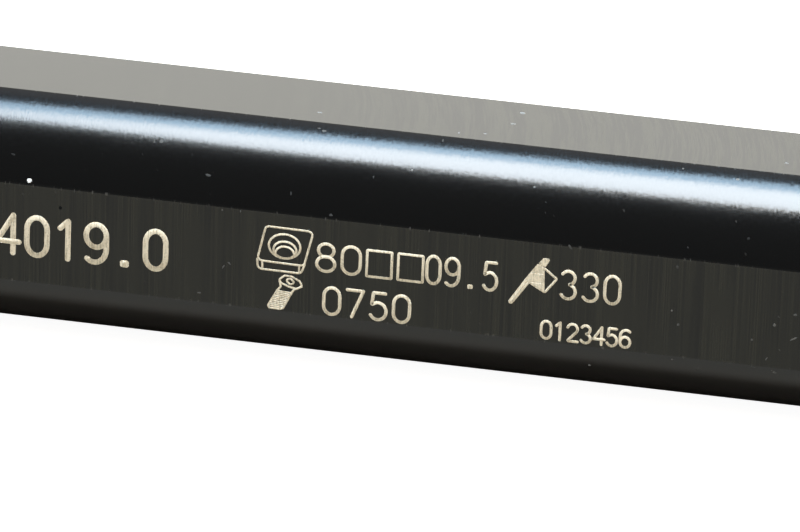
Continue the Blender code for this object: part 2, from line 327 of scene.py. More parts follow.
@dataclass(frozen=True)
class FeedLines:
    """The cutter's feed marks: leaning arcs on the top and bottom flats, straight ones on the marked flat."""

    step: float = 0.24 * MM
    cutter_radius: float = 25.0 * MM
    top_lean: float = 0.20
    side_lean: float = 0.012
    coarse_rate: float = 0.31
    coarse_size: Size = (30 * MM, 30 * MM)
    fine_rate: float = 1.9
    fine_size: Size = (4 * MM, 14 * MM)
    fine_share: float = 0.65
    patch: Size = (2.2 * MM, 5 * MM, 5 * MM)
    patch_edge: Span = (0.35, 0.70)
    side_strength: Span = (0.40, 1.40)
    top_strength: Span = (0.3, 8.0)
    top_fade: Span = (-12 * MM, 34 * MM)

    def shade(self, spot: Spot, top: Value) -> Value:
        """How light the lines are, about 0.5.

        Args:
            spot: The point on the bar's skin.
            top: The mask of the top and bottom flats.

        Returns:
            The lines' shade.
        """
        graph, along, across, height = spot.graph, spot.along, spot.across, spot.height
        bow = across * across / (2 * self.cutter_radius)
        shift = (across * self.top_lean + bow) * top + height * self.side_lean * (1.0 - top)
        run = (along + shift) / self.step
        wide, tall = self.coarse_size
        coarse = graph.noise(graph.point(run * self.coarse_rate, across / wide, height / tall), 1.0)
        wide, tall = self.fine_size
        fine = graph.noise(graph.point(run * self.fine_rate, across / wide, height / tall), roughness=0.6)
        patchy = graph.grains((along, across, height), self.patch)
        on_side = graph.rise(patchy, *self.patch_edge) * self.side_strength[1] + self.side_strength[0]
        on_top = graph.rise(along, *self.top_fade) * self.top_strength[1] + self.top_strength[0]
        strength = on_side + (on_top - on_side) * top
        return (fine * self.fine_share + coarse * (1 - self.fine_share)).swing(strength) + MIDDLE


@dataclass(frozen=True)
class WornHighlitEdges:
    """A thin line of wear along each edge between a flat and the round, lightened also as a painted edge
    highlight.
    """

    line: Span = (0.16 * MM, 0.02 * MM)
    depth: Span = (0.3 * MM, 0.1 * MM)
    patch: Size = (0.35 * MM, 4 * MM, 4 * MM)
    patch_edge: Span = (0.58, 0.68)
    least: float = 0.05
    fade: float = 2 * MM

    def mask(self, spot: Spot, radius: float, reach: float, start: float) -> Value:
        """Where the edges show wear and carry the painted edge highlight.

        Args:
            spot: The point on the bar's skin.
            radius: The shank's radius.
            reach: How far each flat lies from the axis.
            start: Where the edges begin along the bar.

        Returns:
            The mask.
        """
        graph = spot.graph
        edge = math.sqrt(radius**2 - reach**2)
        near = [reach - depth for depth in self.depth]
        side = graph.rise(abs(abs(spot.height) - edge), *self.line) * graph.rise(-spot.across, *near)
        top = graph.rise(abs(abs(spot.across) - edge), *self.line) * graph.rise(abs(spot.height), *near)
        patchy = graph.grains((spot.along, spot.height, spot.across), self.patch, detail=4.0, roughness=0.7)
        shank = graph.rise(spot.along, start, start + self.fade)
        strength = graph.rise(patchy, *self.patch_edge) * (1 - self.least) + self.least
        return side.math("MAXIMUM", top) * strength * shank


@dataclass(frozen=True)
class FineDust:
    """Sparse light specks of several sizes, a little out of round."""

    step: float = 2.6 * MM
    lean: float = 0.5
    cross_lean: float = 0.3
    spread: float = 1.7
    uneven: Size = (0.12 * MM, 0.12 * MM)
    wobble: float = 0.02
    size: Span = (0.006, 0.026)
    edge: Span = (0.5, 1.5)
    chance: Span = (0.70, 1.00)
    strength: Span = (0.01, 0.04)

    def mask(self, spot: Spot) -> Value:
        """Where the specks are, and how strong each one is.

        Args:
            spot: The point on the bar's skin.

        Returns:
            The mask.
        """
        graph, along, around = spot.graph, spot.along, spot.around
        wobble = graph.grains((along, around), self.uneven, 1.0) * self.wobble
        slanted = (along + around * self.lean) / self.step + wobble
        crossed = (around - along * self.cross_lean) / (self.step * self.spread) - wobble
        sockets = {"Vector": graph.point(slanted, crossed), "Scale": 1.0, "Randomness": 1.0}
        distance = graph.add("ShaderNodeTexVoronoi", {"voronoi_dimensions": "2D"}, sockets, "Distance")
        size, chance, fade = graph.split(distance.also("Color"))
        radius = size * size * size * size * self.size[1] + self.size[0]
        shape = 1.0 - graph.rise(distance, *(radius * share for share in self.edge))
        return shape * graph.rise(chance, *self.chance) * (fade * self.strength[1] + self.strength[0])


@dataclass(frozen=True)
class Scuffs:
    """Small light scuffs, gathered in a few places."""

    fleck: Size = (0.20 * MM, 0.34 * MM)
    lean: float = 0.6
    cross_lean: float = 0.3
    fleck_edge: Span = (0.72, 0.80)
    gathering: Size = (5.2 * MM, 3.4 * MM)
    gathering_edge: Span = (0.56, 0.72)
    strength: float = 0.25

    def mask(self, spot: Spot) -> Value:
        """Where the scuffs are.

        Args:
            spot: The point on the bar's skin.

        Returns:
            The mask.
        """
        graph, along, around = spot.graph, spot.along, spot.around
        leaning = (along + around * self.lean, around - along * self.cross_lean)
        flecks = graph.rise(graph.grains(leaning, self.fleck, 1.0), *self.fleck_edge)
        gathered = graph.grains((along, around), self.gathering, 1.0)
        return flecks * graph.rise(gathered, *self.gathering_edge) * self.strength


@dataclass(frozen=True)
class BlackOxide(Finish):
    """Blackened steel: ground where it is round, and milled across where it is flat."""

    axis_height: float = 0.0
    shank_radius: float = 0.0
    flat_reach: float = 0.0
    marked_start: float = 0.0
    flat_dark: Colour = (0.0008, 0.0007, 0.0003)
    flat_light: Colour = (0.0112, 0.0104, 0.0062)
    # Edge line colour: wear, and a painted highlight where a lit edge break would shine.
    worn_highlight_colour: Colour = (0.060, 0.056, 0.050)
    dust_colour: Colour = (0.42, 0.40, 0.36)
    scuff_colour: Colour = (0.16, 0.155, 0.145)
    lines: FeedLines = FeedLines()
    line_edge: Span = (0.30, 0.70)
    worn_highlit_edges: WornHighlitEdges = WornHighlitEdges()
    worn_highlight_share: float = 0.8
    fine_dust: FineDust = FineDust()
    scuffs: Scuffs = Scuffs()
    grain: Size = (0.14 * MM, 0.34 * MM)
    cloud: Size = (9 * MM, 6 * MM)
    nick: Size = (0.10 * MM, 0.36 * MM)
    nick_tilt: float = 0.046
    streak: Size = (0.50 * MM, 0.13 * MM)
    streak_lean: float = 0.2
    streak_tilt: float = 0.036
    cloud_roughness: float = 0.05
    grain_roughness: float = 0.10
    dust_roughness: float = 0.3
    relief: float = 3.0e-6
    line_relief: float = 0.45
    top_edge: Span = (0.05 * MM, 0.01 * MM)
    marked_edge: Span = (0.007 * MM, 0.001 * MM)
    marked_fade: float = 12 * MM

    def pattern(self, graph: Graph, place: Value) -> dict[str, Value]:
        """Grain round the bar, feed lines across its flats, edge wear with a painted edge highlight, and a
        little dust.

        Args:
            graph: The material's graph.
            place: The point on the surface.

        Returns:
            The colour, the roughness and the normal.
        """
        along, across, up = graph.split(place)
        height = up - self.axis_height
        around = graph.math("ARCTAN2", across, height) * self.shank_radius
        spot = Spot(graph, along, across, height, around)
        top, marked = self._flats(spot)
        flat = top.math("MAXIMUM", marked)
        ground = 1.0 - flat
        grain = graph.grains((along, around), self.grain)
        lines = self.lines.shade(spot, top)
        dust = self.fine_dust.mask(spot)
        cloud = graph.grains((along, around), self.cloud)

        # Mask of the edge line: wear and a painted edge highlight.
        worn_highlight = self.worn_highlit_edges.mask(spot, self.shank_radius, self.flat_reach, self.marked_start)
        milled = graph.mix(graph.rise(lines, *self.line_edge), self.flat_dark, self.flat_light)
        colour = graph.mix(flat, self.colour, milled)
        # Lightens the edges: wear plus a painted edge highlight.
        colour = graph.mix(worn_highlight * self.worn_highlight_share, colour, self.worn_highlight_colour)
        colour = graph.mix(self.scuffs.mask(spot), colour, self.scuff_colour)
        rough = cloud.swing(self.cloud_roughness)
        rough = rough + grain.swing(self.grain_roughness) * ground + lines.swing(self.grain_roughness) * flat
        relief = grain * ground + lines * flat * self.line_relief
        return {
            "Base Color": graph.mix(dust, colour, self.dust_colour),
            "Roughness": rough + dust * self.dust_roughness + self.roughness,
            "Normal": graph.bump(relief, self.relief, self._ground(spot, ground)),
        }

    def _ground(self, spot: Spot, share: Value) -> Value:
        """The surface's normal, turned a little about the bar's axis by the grinding's nicks and streaks.

        Args:
            spot: The point on the bar's skin.
            share: How much the surface is ground there.

        Returns:
            The normal.
        """
        graph, along, around = spot.graph, spot.along, spot.around
        nicks = graph.grains((along, around), self.nick, 1.0)
        streaks = graph.grains((along, around + along * self.streak_lean), self.streak)
        tilt = (nicks.swing(self.nick_tilt) + streaks.swing(self.streak_tilt)) * share
        x, y, z = graph.split(graph.add("ShaderNodeNewGeometry", {}, {}, "Normal"))
        return graph.point(x, y + z * tilt, z - y * tilt)

    def _flats(self, spot: Spot) -> tuple[Value, Value]:
        """Masks of the flats.

        Args:
            spot: The point on the bar's skin.

        Returns:
            The mask of the top and bottom flats, and that of the marked flat.
        """
        graph = spot.graph
        top = graph.rise(abs(spot.height), *(self.flat_reach - inset for inset in self.top_edge))
        marked = graph.rise(-spot.across, *(self.flat_reach - inset for inset in self.marked_edge))
        return top, marked * graph.rise(spot.along, self.marked_start - self.marked_fade, self.marked_start)


@dataclass(frozen=True)
class GroundCarbide(Finish):
    """Sintered carbide with a fine grain, and faint grinding lines on its sides."""

    grain: Size = (0.05 * MM,) * 3
    line: Size = (2 * MM, 2 * MM, 0.06 * MM)
    cloud: Size = (1.6 * MM,) * 3
    darkest: float = 0.72
    grain_roughness: float = 0.16
    cloud_roughness: float = 0.08
    grain_share: float = 0.7
    relief: float = 1.2e-6

    def pattern(self, graph: Graph, place: Value) -> dict[str, Value]:
        """Fine sintered grain over faint level grinding lines.

        Args:
            graph: The material's graph.
            place: The point on the surface.

        Returns:
            The colour, the roughness and the normal.
        """
        spot = graph.split(place)
        fine = graph.grains(spot, self.grain, detail=3.0, roughness=0.7)
        lines = graph.grains(spot, self.line)
        cloud = graph.grains(spot, self.cloud, detail=3.0)
        rough = fine.swing(self.grain_roughness) + cloud.swing(self.cloud_roughness)
        relief = fine * self.grain_share + lines * (1 - self.grain_share)
        return {
            "Base Color": graph.mix(fine * MIDDLE + cloud * MIDDLE, self.dimmed(self.darkest), self.colour),
            "Roughness": rough + self.roughness,
            "Normal": graph.bump(relief, self.relief),
        }


@dataclass(frozen=True)
class ScrewSteel(Finish):
    """Dark hardened steel with fine turning rings about the screw's axis."""

    axis_point: tuple[float, float, float] = (0.0, 0.0, 0.0)
    ring: float = 0.045 * MM
    scatter: Size = (0.4 * MM,) * 3
    darkest: float = 0.6
    scatter_roughness: float = 0.2
    ring_share: float = 0.6
    relief: float = 1.0e-6

    def pattern(self, graph: Graph, place: Value) -> dict[str, Value]:
        """Rings about the axis, and a little scatter in shade.

        Args:
            graph: The material's graph.
            place: The point on the surface.

        Returns:
            The colour, the roughness and the normal.
        """
        offset = graph.add("ShaderNodeVectorMath", {"operation": "SUBTRACT"}, {0: place, 1: self.axis_point})
        distance = graph.add("ShaderNodeVectorMath", {"operation": "LENGTH"}, {0: offset}, "Value")
        rings = graph.noise(graph.point(distance / self.ring, 0.0))
        scatter = graph.grains(graph.split(place), self.scatter, detail=4.0, roughness=0.65)
        relief = rings * self.ring_share + scatter * (1 - self.ring_share)
        return {
            "Base Color": graph.mix(scatter, self.dimmed(self.darkest), self.colour),
            "Roughness": scatter.swing(self.scatter_roughness) + self.roughness,
            "Normal": graph.bump(relief, self.relief),
        }


@dataclass(frozen=True)
class EtchedMark(Finish):
    """A burnt, chalky mark made of fine upright passes."""

    shadow: Colour = (0.30, 0.25, 0.17)
    beam: Size = (0.09 * MM, 1 * MM, 0.8 * MM)
    chalk: Size = (0.13 * MM, 1 * MM, 0.13 * MM)
    shade_edge: Span = (0.30, 0.56)
    chalk_roughness: float = 0.2
    relief: float = 3.0e-6

    def pattern(self, graph: Graph, place: Value) -> dict[str, Value]:
        """Upright passes of the beam, with chalky scatter.

        Args:
            graph: The material's graph.
            place: The point on the surface.

        Returns:
            The colour, the roughness and the normal.
        """
        spot = graph.split(place)
        passes = graph.grains(spot, self.beam, 1.0)
        chalk = graph.grains(spot, self.chalk, detail=3.0, roughness=0.7)
        shade = graph.rise(passes * MIDDLE + chalk * MIDDLE, *self.shade_edge)
        return {
            "Base Color": graph.mix(shade, self.shadow, self.colour),
            "Roughness": chalk.swing(self.chalk_roughness) + self.roughness,
            "Normal": graph.bump(chalk, self.relief),
        }


@dataclass(frozen=True)
class DustGrain(Finish):
    """Dry dust, whose grains each have a shade of their own."""

    grain: Size = (0.08 * MM,) * 3
    shades: Span = (0.7, 0.6)

    def pattern(self, graph: Graph, place: Value) -> dict[str, Value]:
        """Each grain's shade, a little uneven.

        Args:
            graph: The material's graph.
            place: The point on the surface.

        Returns:
            The colour.
        """
        uneven = graph.grains(graph.split(place), self.grain, 1.0) * self.shades[1] + self.shades[0]
        shade = graph.add("ShaderNodeAttribute", {"attribute_name": SHADE}, {}, "Fac") * uneven
        tint = graph.add("ShaderNodeVectorMath", {"operation": "SCALE"}, {0: self.colour, "Scale": shade})
        return {"Base Color": tint}


@dataclass(frozen=True)
class StudioPaper(Finish):
    """Matt pale paper, which comes out white in the picture."""

    tooth: Size = (3 * MM, 3 * MM)
    tooth_roughness: float = 0.1

    def pattern(self, graph: Graph, place: Value) -> dict[str, Value]:
        """A faint tooth in the paper, and a lift of what is seen directly.

        Args:
            graph: The material's graph.
            place: The point on the surface.

        Returns:
            The roughness and the light that the paper adds.
        """
        tooth = graph.grains(graph.split(place)[:2], self.tooth)
        seen = graph.add("ShaderNodeLightPath", {}, {}, "Is Camera Ray")
        return {"Roughness": tooth.swing(self.tooth_roughness) + self.roughness, "Emission Color": seen}


def new_object(name: str, mesh: Mesh) -> Object:
    """Links a mesh into the scene, at the origin.

    Args:
        name: The object's name.
        mesh: The mesh.

    Returns:
        The object.
    """
    obj = bpy.data.objects.new(name, mesh)
    bpy.context.scene.collection.objects.link(obj)
    return obj


def settled(obj: Object) -> Mesh:
    """Turns an object's modifiers into a plain mesh and removes the object.

    Args:
        obj: The object, with its modifiers.

    Returns:
        The mesh that the modifiers make.
    """
    bpy.context.view_layer.update()
    graph = bpy.context.evaluated_depsgraph_get()
    mesh = bpy.data.meshes.new_from_object(obj.evaluated_get(graph), depsgraph=graph)
    bpy.data.objects.remove(obj)
    return mesh


def edited(mesh: Mesh, edit: Callable[[BMesh], None]) -> Mesh:
    """Changes a mesh through bmesh and returns it.

    Args:
        mesh: The mesh.
        edit: What is done to it.

    Returns:
        The same mesh.
    """
    solid = bmesh.new()
    solid.from_mesh(mesh)
    edit(solid)
    solid.to_mesh(mesh)
    solid.free()
    return mesh


def closed_up(solid: BMesh) -> None:
    """Merges the points that coincide, and turns the faces outwards.

    Args:
        solid: The mesh, opened for editing.
    """
    bmesh.ops.remove_doubles(solid, verts=solid.verts, dist=TINY)
    bmesh.ops.dissolve_degenerate(solid, dist=TINY, edges=solid.edges)
    bmesh.ops.recalc_face_normals(solid, faces=solid.faces)


def unslivered(solid: BMesh) -> None:
    """Takes out each point where both faces beside it would be cut into one and the same sliver.

    Args:
        solid: The mesh, opened for editing.
    """
    solid.verts.index_update()
    cut = solid.copy()
    bmesh.ops.triangulate(cut, faces=cut.faces, quad_method="FIXED", ngon_method="EAR_CLIP")
    doubled = {vert.index for vert in cut.verts if len(vert.link_edges) == 2}
    cut.free()
    bmesh.ops.dissolve_verts(solid, verts=[vert for vert in solid.verts if vert.index in doubled])


def lofted(name: str, rings: Sequence[Sequence[Sequence[float]]], capped: bool = True) -> Mesh:
    """A closed skin through rings of equal count.

    Args:
        name: The mesh's name.
        rings: The rings' points.
        capped: True for a flat end on the first and last ring, False to join the last ring to the first.

    Returns:
        The mesh.
    """
    count = len(rings[0])
    points = [tuple(point) for ring in rings for point in ring]
    last = len(rings) - 1 if capped else len(rings)
    faces = []
    for ring in range(last):
        here, there = ring * count, (ring + 1) % len(rings) * count
        for step in range(count):
            after = (step + 1) % count
            faces.append((here + step, here + after, there + after, there + step))
    if capped:
        faces += [tuple(range(count)), tuple(range(last * count, (last + 1) * count))]
    mesh = bpy.data.meshes.new(name)
    mesh.from_pydata(points, [], faces)
    return edited(mesh, closed_up)


def prism(name: str, outline: Sequence[Point], low: float, high: float, place: Matrix) -> Mesh:
    """An outline in the XY plane, drawn out from a low to a high Z, and put in place.

    Args:
        name: The mesh's name.
        outline: The outline's points.
        low: The height where it starts.
        high: The height where it ends.
        place: Where it goes.

    Returns:
        The closed mesh.
    """
    mesh = lofted(name, [[(x, y, z) for x, y in outline] for z in (low, high)])
    mesh.transform(place)
    return mesh


def arc(centre: Point, radius: float, start: float, end: float, steps: int) -> list[Point]:
    """Points along a circular arc, its two ends included."""
    angles = (start + (end - start) * step / steps for step in range(steps + 1))
    return [(centre[0] + radius * math.cos(a), centre[1] + radius * math.sin(a)) for a in angles]


def carved(mesh: Mesh, cutter: Mesh, cut: Cut = Cut.AWAY) -> Mesh:
    """The mesh after an exact boolean with the cutter, which is used up.

    Args:
        mesh: The mesh.
        cutter: The solid that cuts it.
        cut: What is kept.

    Returns:
        What is left of the mesh.
    """
    body = new_object(mesh.name, mesh)
    tool = new_object(cutter.name, cutter)
    boolean = body.modifiers.new("cut", "BOOLEAN")
    boolean.operation = cut.value
    boolean.solver = "EXACT"
    boolean.object = tool
    result = settled(body)
    bpy.data.objects.remove(tool)
    return result


def softened(mesh: Mesh, width: float, angle: float, limit: float) -> Mesh:
    """The mesh with its sharp edges rounded, as far along the bar as the limit.

    Args:
        mesh: The mesh.
        width: How far each round reaches from its edge.
        angle: The least turn between faces that counts as an edge.
        limit: The place along the bar where the rounding ends.

    Returns:
        The rounded mesh.
    """
    def weigh(solid: BMesh) -> None:
        """Gives the edges to round a weight of 1.

        Args:
            solid: The mesh, opened for editing.
        """
        weight = solid.edges.layers.float.new("bevel_weight_edge")
        for edge in solid.edges:
            near = max(vert.co.x for vert in edge.verts) < limit
            edge[weight] = float(near and edge.calc_face_angle(0.0) > angle)

    body = new_object(mesh.name, edited(mesh, weigh))
    bevel = body.modifiers.new("soften", "BEVEL")
    bevel.width = width
    bevel.segments = ROUND_SEGMENTS
    bevel.limit_method = "WEIGHT"
    bevel.use_clamp_overlap = False
    return settled(body)


def shaded(mesh: Mesh, crease: float) -> Mesh:
    """The mesh shaded smooth up to a crease angle, with normals that follow its broad faces.

    Args:
        mesh: The mesh.
        crease: The least turn between faces that stays sharp.

    Returns:
        The shaded mesh.
    """
    mesh.shade_smooth()
    mesh.set_sharp_from_angle(angle=crease)
    body = new_object(mesh.name, mesh)
    weigh = body.modifiers.new("weigh", "WEIGHTED_NORMAL")
    weigh.mode = "FACE_AREA"
    weigh.weight = BROAD_FACE_WEIGHT
    weigh.keep_sharp = True
    return settled(body)


class Recipe:
    """A geometry node tree with named inputs, and a way to run it on a mesh."""

    def __init__(self, name: str, inputs: Mapping[str, str]) -> None:
        """Starts the tree, with a socket for each input's kind.

        Args:
            name: The tree's name.
            inputs: The kind of socket of each named input.
        """
        self.tree = bpy.data.node_groups.new(name, "GeometryNodeTree")
        for side in ("INPUT", "OUTPUT"):
            self.tree.interface.new_socket("Geometry", in_out=side, socket_type="NodeSocketGeometry")
        for label, kind in {**inputs, "Material": "Material"}.items():
            self.tree.interface.new_socket(label, in_out="INPUT", socket_type="NodeSocket" + kind)
        self.graph = Graph(self.tree)
        self.entry = self.graph.add("NodeGroupInput")

    def given(self, label: str) -> Value:
        """The input of this name."""
        return self.entry.also(label)

    def end(self, geometry: Value) -> None:
        """Ends the tree: real geometry, with its material.

        Args:
            geometry: What the tree has made.
        """
        real = self.graph.add("GeometryNodeRealizeInstances", {}, {"Geometry": geometry})
        dressed = self.graph.add(
            "GeometryNodeSetMaterial", {}, {"Geometry": real, "Material": self.given("Material")}
        )
        self.tree.links.new(dressed.socket, self.tree.nodes.new("NodeGroupOutput").inputs[0])

    def run(self, mesh: Mesh, inputs: Mapping[str, object]) -> Mesh:
        """Runs the tree on a mesh.

        Args:
            mesh: What goes into the tree.
            inputs: A value for each named input.

        Returns:
            The tree's result as a plain mesh.
        """
        holder = new_object(mesh.name, mesh)
        modifier = holder.modifiers.new("recipe", "NODES")
        modifier.node_group = self.tree
        for item in self.tree.interface.items_tree:
            if item.in_out == "INPUT" and item.name in inputs:
                modifier[item.identifier] = inputs[item.name]
        return settled(holder)


class TurnedRecipe(Recipe):
    """Turns a profile about Z, with lobes and a screw thread where the profile asks for them.

    The profile's points run from pole to pole. Its attributes lobe and thread say how much of each a
    point takes.
    """

    CREST = 0.14
    ROOT = 0.22
    MERGE_DISTANCE = 1e-6

    def __init__(self) -> None:
        """Builds the tree."""
        counts = dict.fromkeys(("Steps", "Lobes"), "Int")
        lengths = dict.fromkeys(("Lobe Depth", "Pitch", "Thread Depth"), "Float")
        super().__init__("turned", counts | lengths)
        graph = self.graph
        profile = self.given("Geometry")
        rows = graph.add(
            "GeometryNodeAttributeDomainSize", {"component": "MESH"}, {"Geometry": profile}, "Point Count"
        )
        size = {"Size X": 1.0, "Size Y": 1.0, "Vertices X": self.given("Steps") + 1, "Vertices Y": rows}
        grid = graph.add("GeometryNodeMeshGrid", {}, size)
        column, row, _ = graph.split(graph.add("GeometryNodeInputPosition"))
        angle = (column + 0.5) * math.tau
        index = ((row + 0.5) * (rows - 1)).math("ROUND")
        position = self._read("FLOAT_VECTOR", graph.add("GeometryNodeInputPosition"), index)
        radius, _, height = graph.split(position)
        lobe, thread = (self._read("FLOAT", self._named(name), index) for name in ("lobe", "thread"))
        wave = 1.0 - graph.math("COSINE", angle * self.given("Lobes"))
        turns = height / self.given("Pitch") - angle / math.tau
        saw = abs(turns.math("FRACT") * 2.0 - 1.0)
        groove = 1.0 - (saw - self.ROOT).math("DIVIDE", 1.0 - self.ROOT - self.CREST)
        groove = groove.math("MINIMUM", 1.0).math("MAXIMUM", 0.0)
        radius = radius - lobe * self.given("Lobe Depth") * wave
        radius = radius - thread * self.given("Thread Depth") * groove
        place = graph.point(radius * graph.math("COSINE", angle), radius * graph.math("SINE", angle), height)
        placed = graph.add("GeometryNodeSetPosition", {}, {"Geometry": grid, "Position": place})
        merging = {"Geometry": placed, "Distance": self.MERGE_DISTANCE}
        self.end(graph.add("GeometryNodeMergeByDistance", {}, merging))

    def _named(self, name: str) -> Value:
        """A number that the profile's points carry."""
        return self.graph.add("GeometryNodeInputNamedAttribute", {"data_type": "FLOAT"}, {"Name": name})

    def _read(self, kind: str, value: Value, index: Value) -> Value:
        """What the profile's point of this index holds."""
        sockets = {"Geometry": self.given("Geometry"), "Value": value, "Index": index}
        return self.graph.add("GeometryNodeSampleIndex", {"data_type": kind, "domain": "POINT"}, sockets)

    def turn(self, profile: "Profile", inputs: Mapping[str, object], place: Matrix) -> Mesh:
        """The turned solid, put in place, with its faces outwards.

        Args:
            profile: The profile.
            inputs: The recipe's inputs.
            place: Where it goes.

        Returns:
            The mesh.
        """
        mesh = self.run(profile.mesh(), inputs)
        mesh.transform(place)
        return edited(mesh, closed_up)


class StrokeRecipe(Recipe):
    """Draws thin flat strokes with round ends along the paths of a mesh's edges, in its XY plane."""

    CORNER_STEPS = 3
    END_STEPS = 14
    END_SHARE = 0.94

    def __init__(self) -> None:
        """Builds the tree."""
        super().__init__("strokes", {"Width": "Float", "Thickness": "Float", "Corner": "Float"})
        graph = self.graph
        width, thickness = self.given("Width"), self.given("Thickness")
        path = graph.add("GeometryNodeMeshToCurve", {}, {"Mesh": self.given("Geometry")})
        corner = {"Count": self.CORNER_STEPS, "Radius": self.given("Corner"), "Limit Radius": True}
        rounded = graph.add("GeometryNodeFilletCurve", {"mode": "POLY"}, {"Curve": path, **corner})
        level = graph.add("GeometryNodeSetCurveNormal", {"mode": "Z_UP"}, {"Curve": rounded})
        oblong = {"Width": width, "Height": thickness}
        section = graph.add("GeometryNodeCurvePrimitiveQuadrilateral", {"mode": "RECTANGLE"}, oblong)
        sweeping = {"Curve": level, "Profile Curve": section, "Fill Caps": True}
        swept = graph.add("GeometryNodeCurveToMesh", {}, sweeping)
        disc = {"Vertices": self.END_STEPS, "Radius": width * 0.5, "Depth": thickness * self.END_SHARE}
        cap = graph.add("GeometryNodeMeshCylinder", {}, disc)
        ends = graph.add("GeometryNodeCurveEndpointSelection", {}, {"Start Size": 1, "End Size": 1})
        capping = {"Points": rounded, "Selection": ends, "Instance": cap}
        caps = graph.add("GeometryNodeInstanceOnPoints", {}, capping)
        self.end(graph.add("GeometryNodeJoinGeometry", {}, {"Geometry": [swept, caps]}))


@dataclass
class Profile:
    """Half a section, from pole to pole, with the share of lobes and thread at each point."""

    name: str
    fade_rate: float = 1.6

    def __post_init__(self) -> None:
        """Starts with no points."""
        self.points: list[Point] = []
        self.lobes: list[float] = []
        self.threads: list[float] = []

    def to(self, radius: float, height: float, lobe: float = 0.0, thread: float = 0.0) -> "Profile":
        """Adds a point.

        Args:
            radius: Its distance from the axis.
            height: Its height.
            lobe: Its share of the lobes.
            thread: Its share of the thread.

        Returns:
            The profile itself.
        """
        self.points.append((radius, height))
        self.lobes.append(lobe)
        self.threads.append(thread)
        return self

    def corner(self, radius: float, height: float, offsets: Iterable[Point], lobe: float = 0.0) -> "Profile":
        """Adds the points of an eased corner.

        Args:
            radius: The sharp corner's distance from the axis.
            height: Its height.
            offsets: How far out and up each point lies from it.
            lobe: The points' share of the lobes.

        Returns:
            The profile itself.
        """
        for out, up in offsets:
            self.to(radius + out, height + up, lobe)
        return self

    def threaded(self, radius: float, start: float, end: float, pitch: float, steps: int) -> "Profile":
        """Adds a threaded stretch that fades in and out over its first and last turn.

        Args:
            radius: The thread's outer radius.
            start: The height where it begins.
            end: The height where it ends.
            pitch: The height of one turn.
            steps: Points for each turn.

        Returns:
            The profile itself.
        """
        count = math.ceil(abs(end - start) / pitch * steps)
        for step in range(count + 1):
            height = start + (end - start) * step / count
            turns = min(abs(height - start), abs(end - height)) / pitch
            self.to(radius, height, thread=min(1.0, self.fade_rate * turns))
        return self

    def mesh(self) -> Mesh:
        """The profile as a line of points, with its attributes.

        Returns:
            The mesh.
        """
        mesh = bpy.data.meshes.new(self.name)
        edges = [(index, index + 1) for index in range(len(self.points) - 1)]
        mesh.from_pydata([(radius, 0.0, height) for radius, height in self.points], edges, [])
        for name, numbers in (("lobe", self.lobes), ("thread", self.threads)):
            mesh.attributes.new(name, "FLOAT", "POINT").data.foreach_set("value", numbers)
        return mesh


@dataclass
class Piece:
    """What every sub-assembly does with a finished mesh: name it, dress it and hang it on the frame."""

    def place(
        self, name: str, mesh: Mesh, finish: Finish, stands_for: Node | None = None
    ) -> Object:
        """Makes the mesh a piece of the object.

        Args:
            name: The piece's name.
            mesh: Its mesh, in place.
            finish: Its finish.
            stands_for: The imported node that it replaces, if any.

        Returns:
            The piece.
        """
        mesh.name = name
        mesh.materials.clear()
        mesh.materials.append(finish.make())
        obj = new_object(name, mesh)
        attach(obj, "root")
        if stands_for:
            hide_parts(stands_for.value)
        LOG.info("%s: %d faces", name, len(mesh.polygons))
        return obj


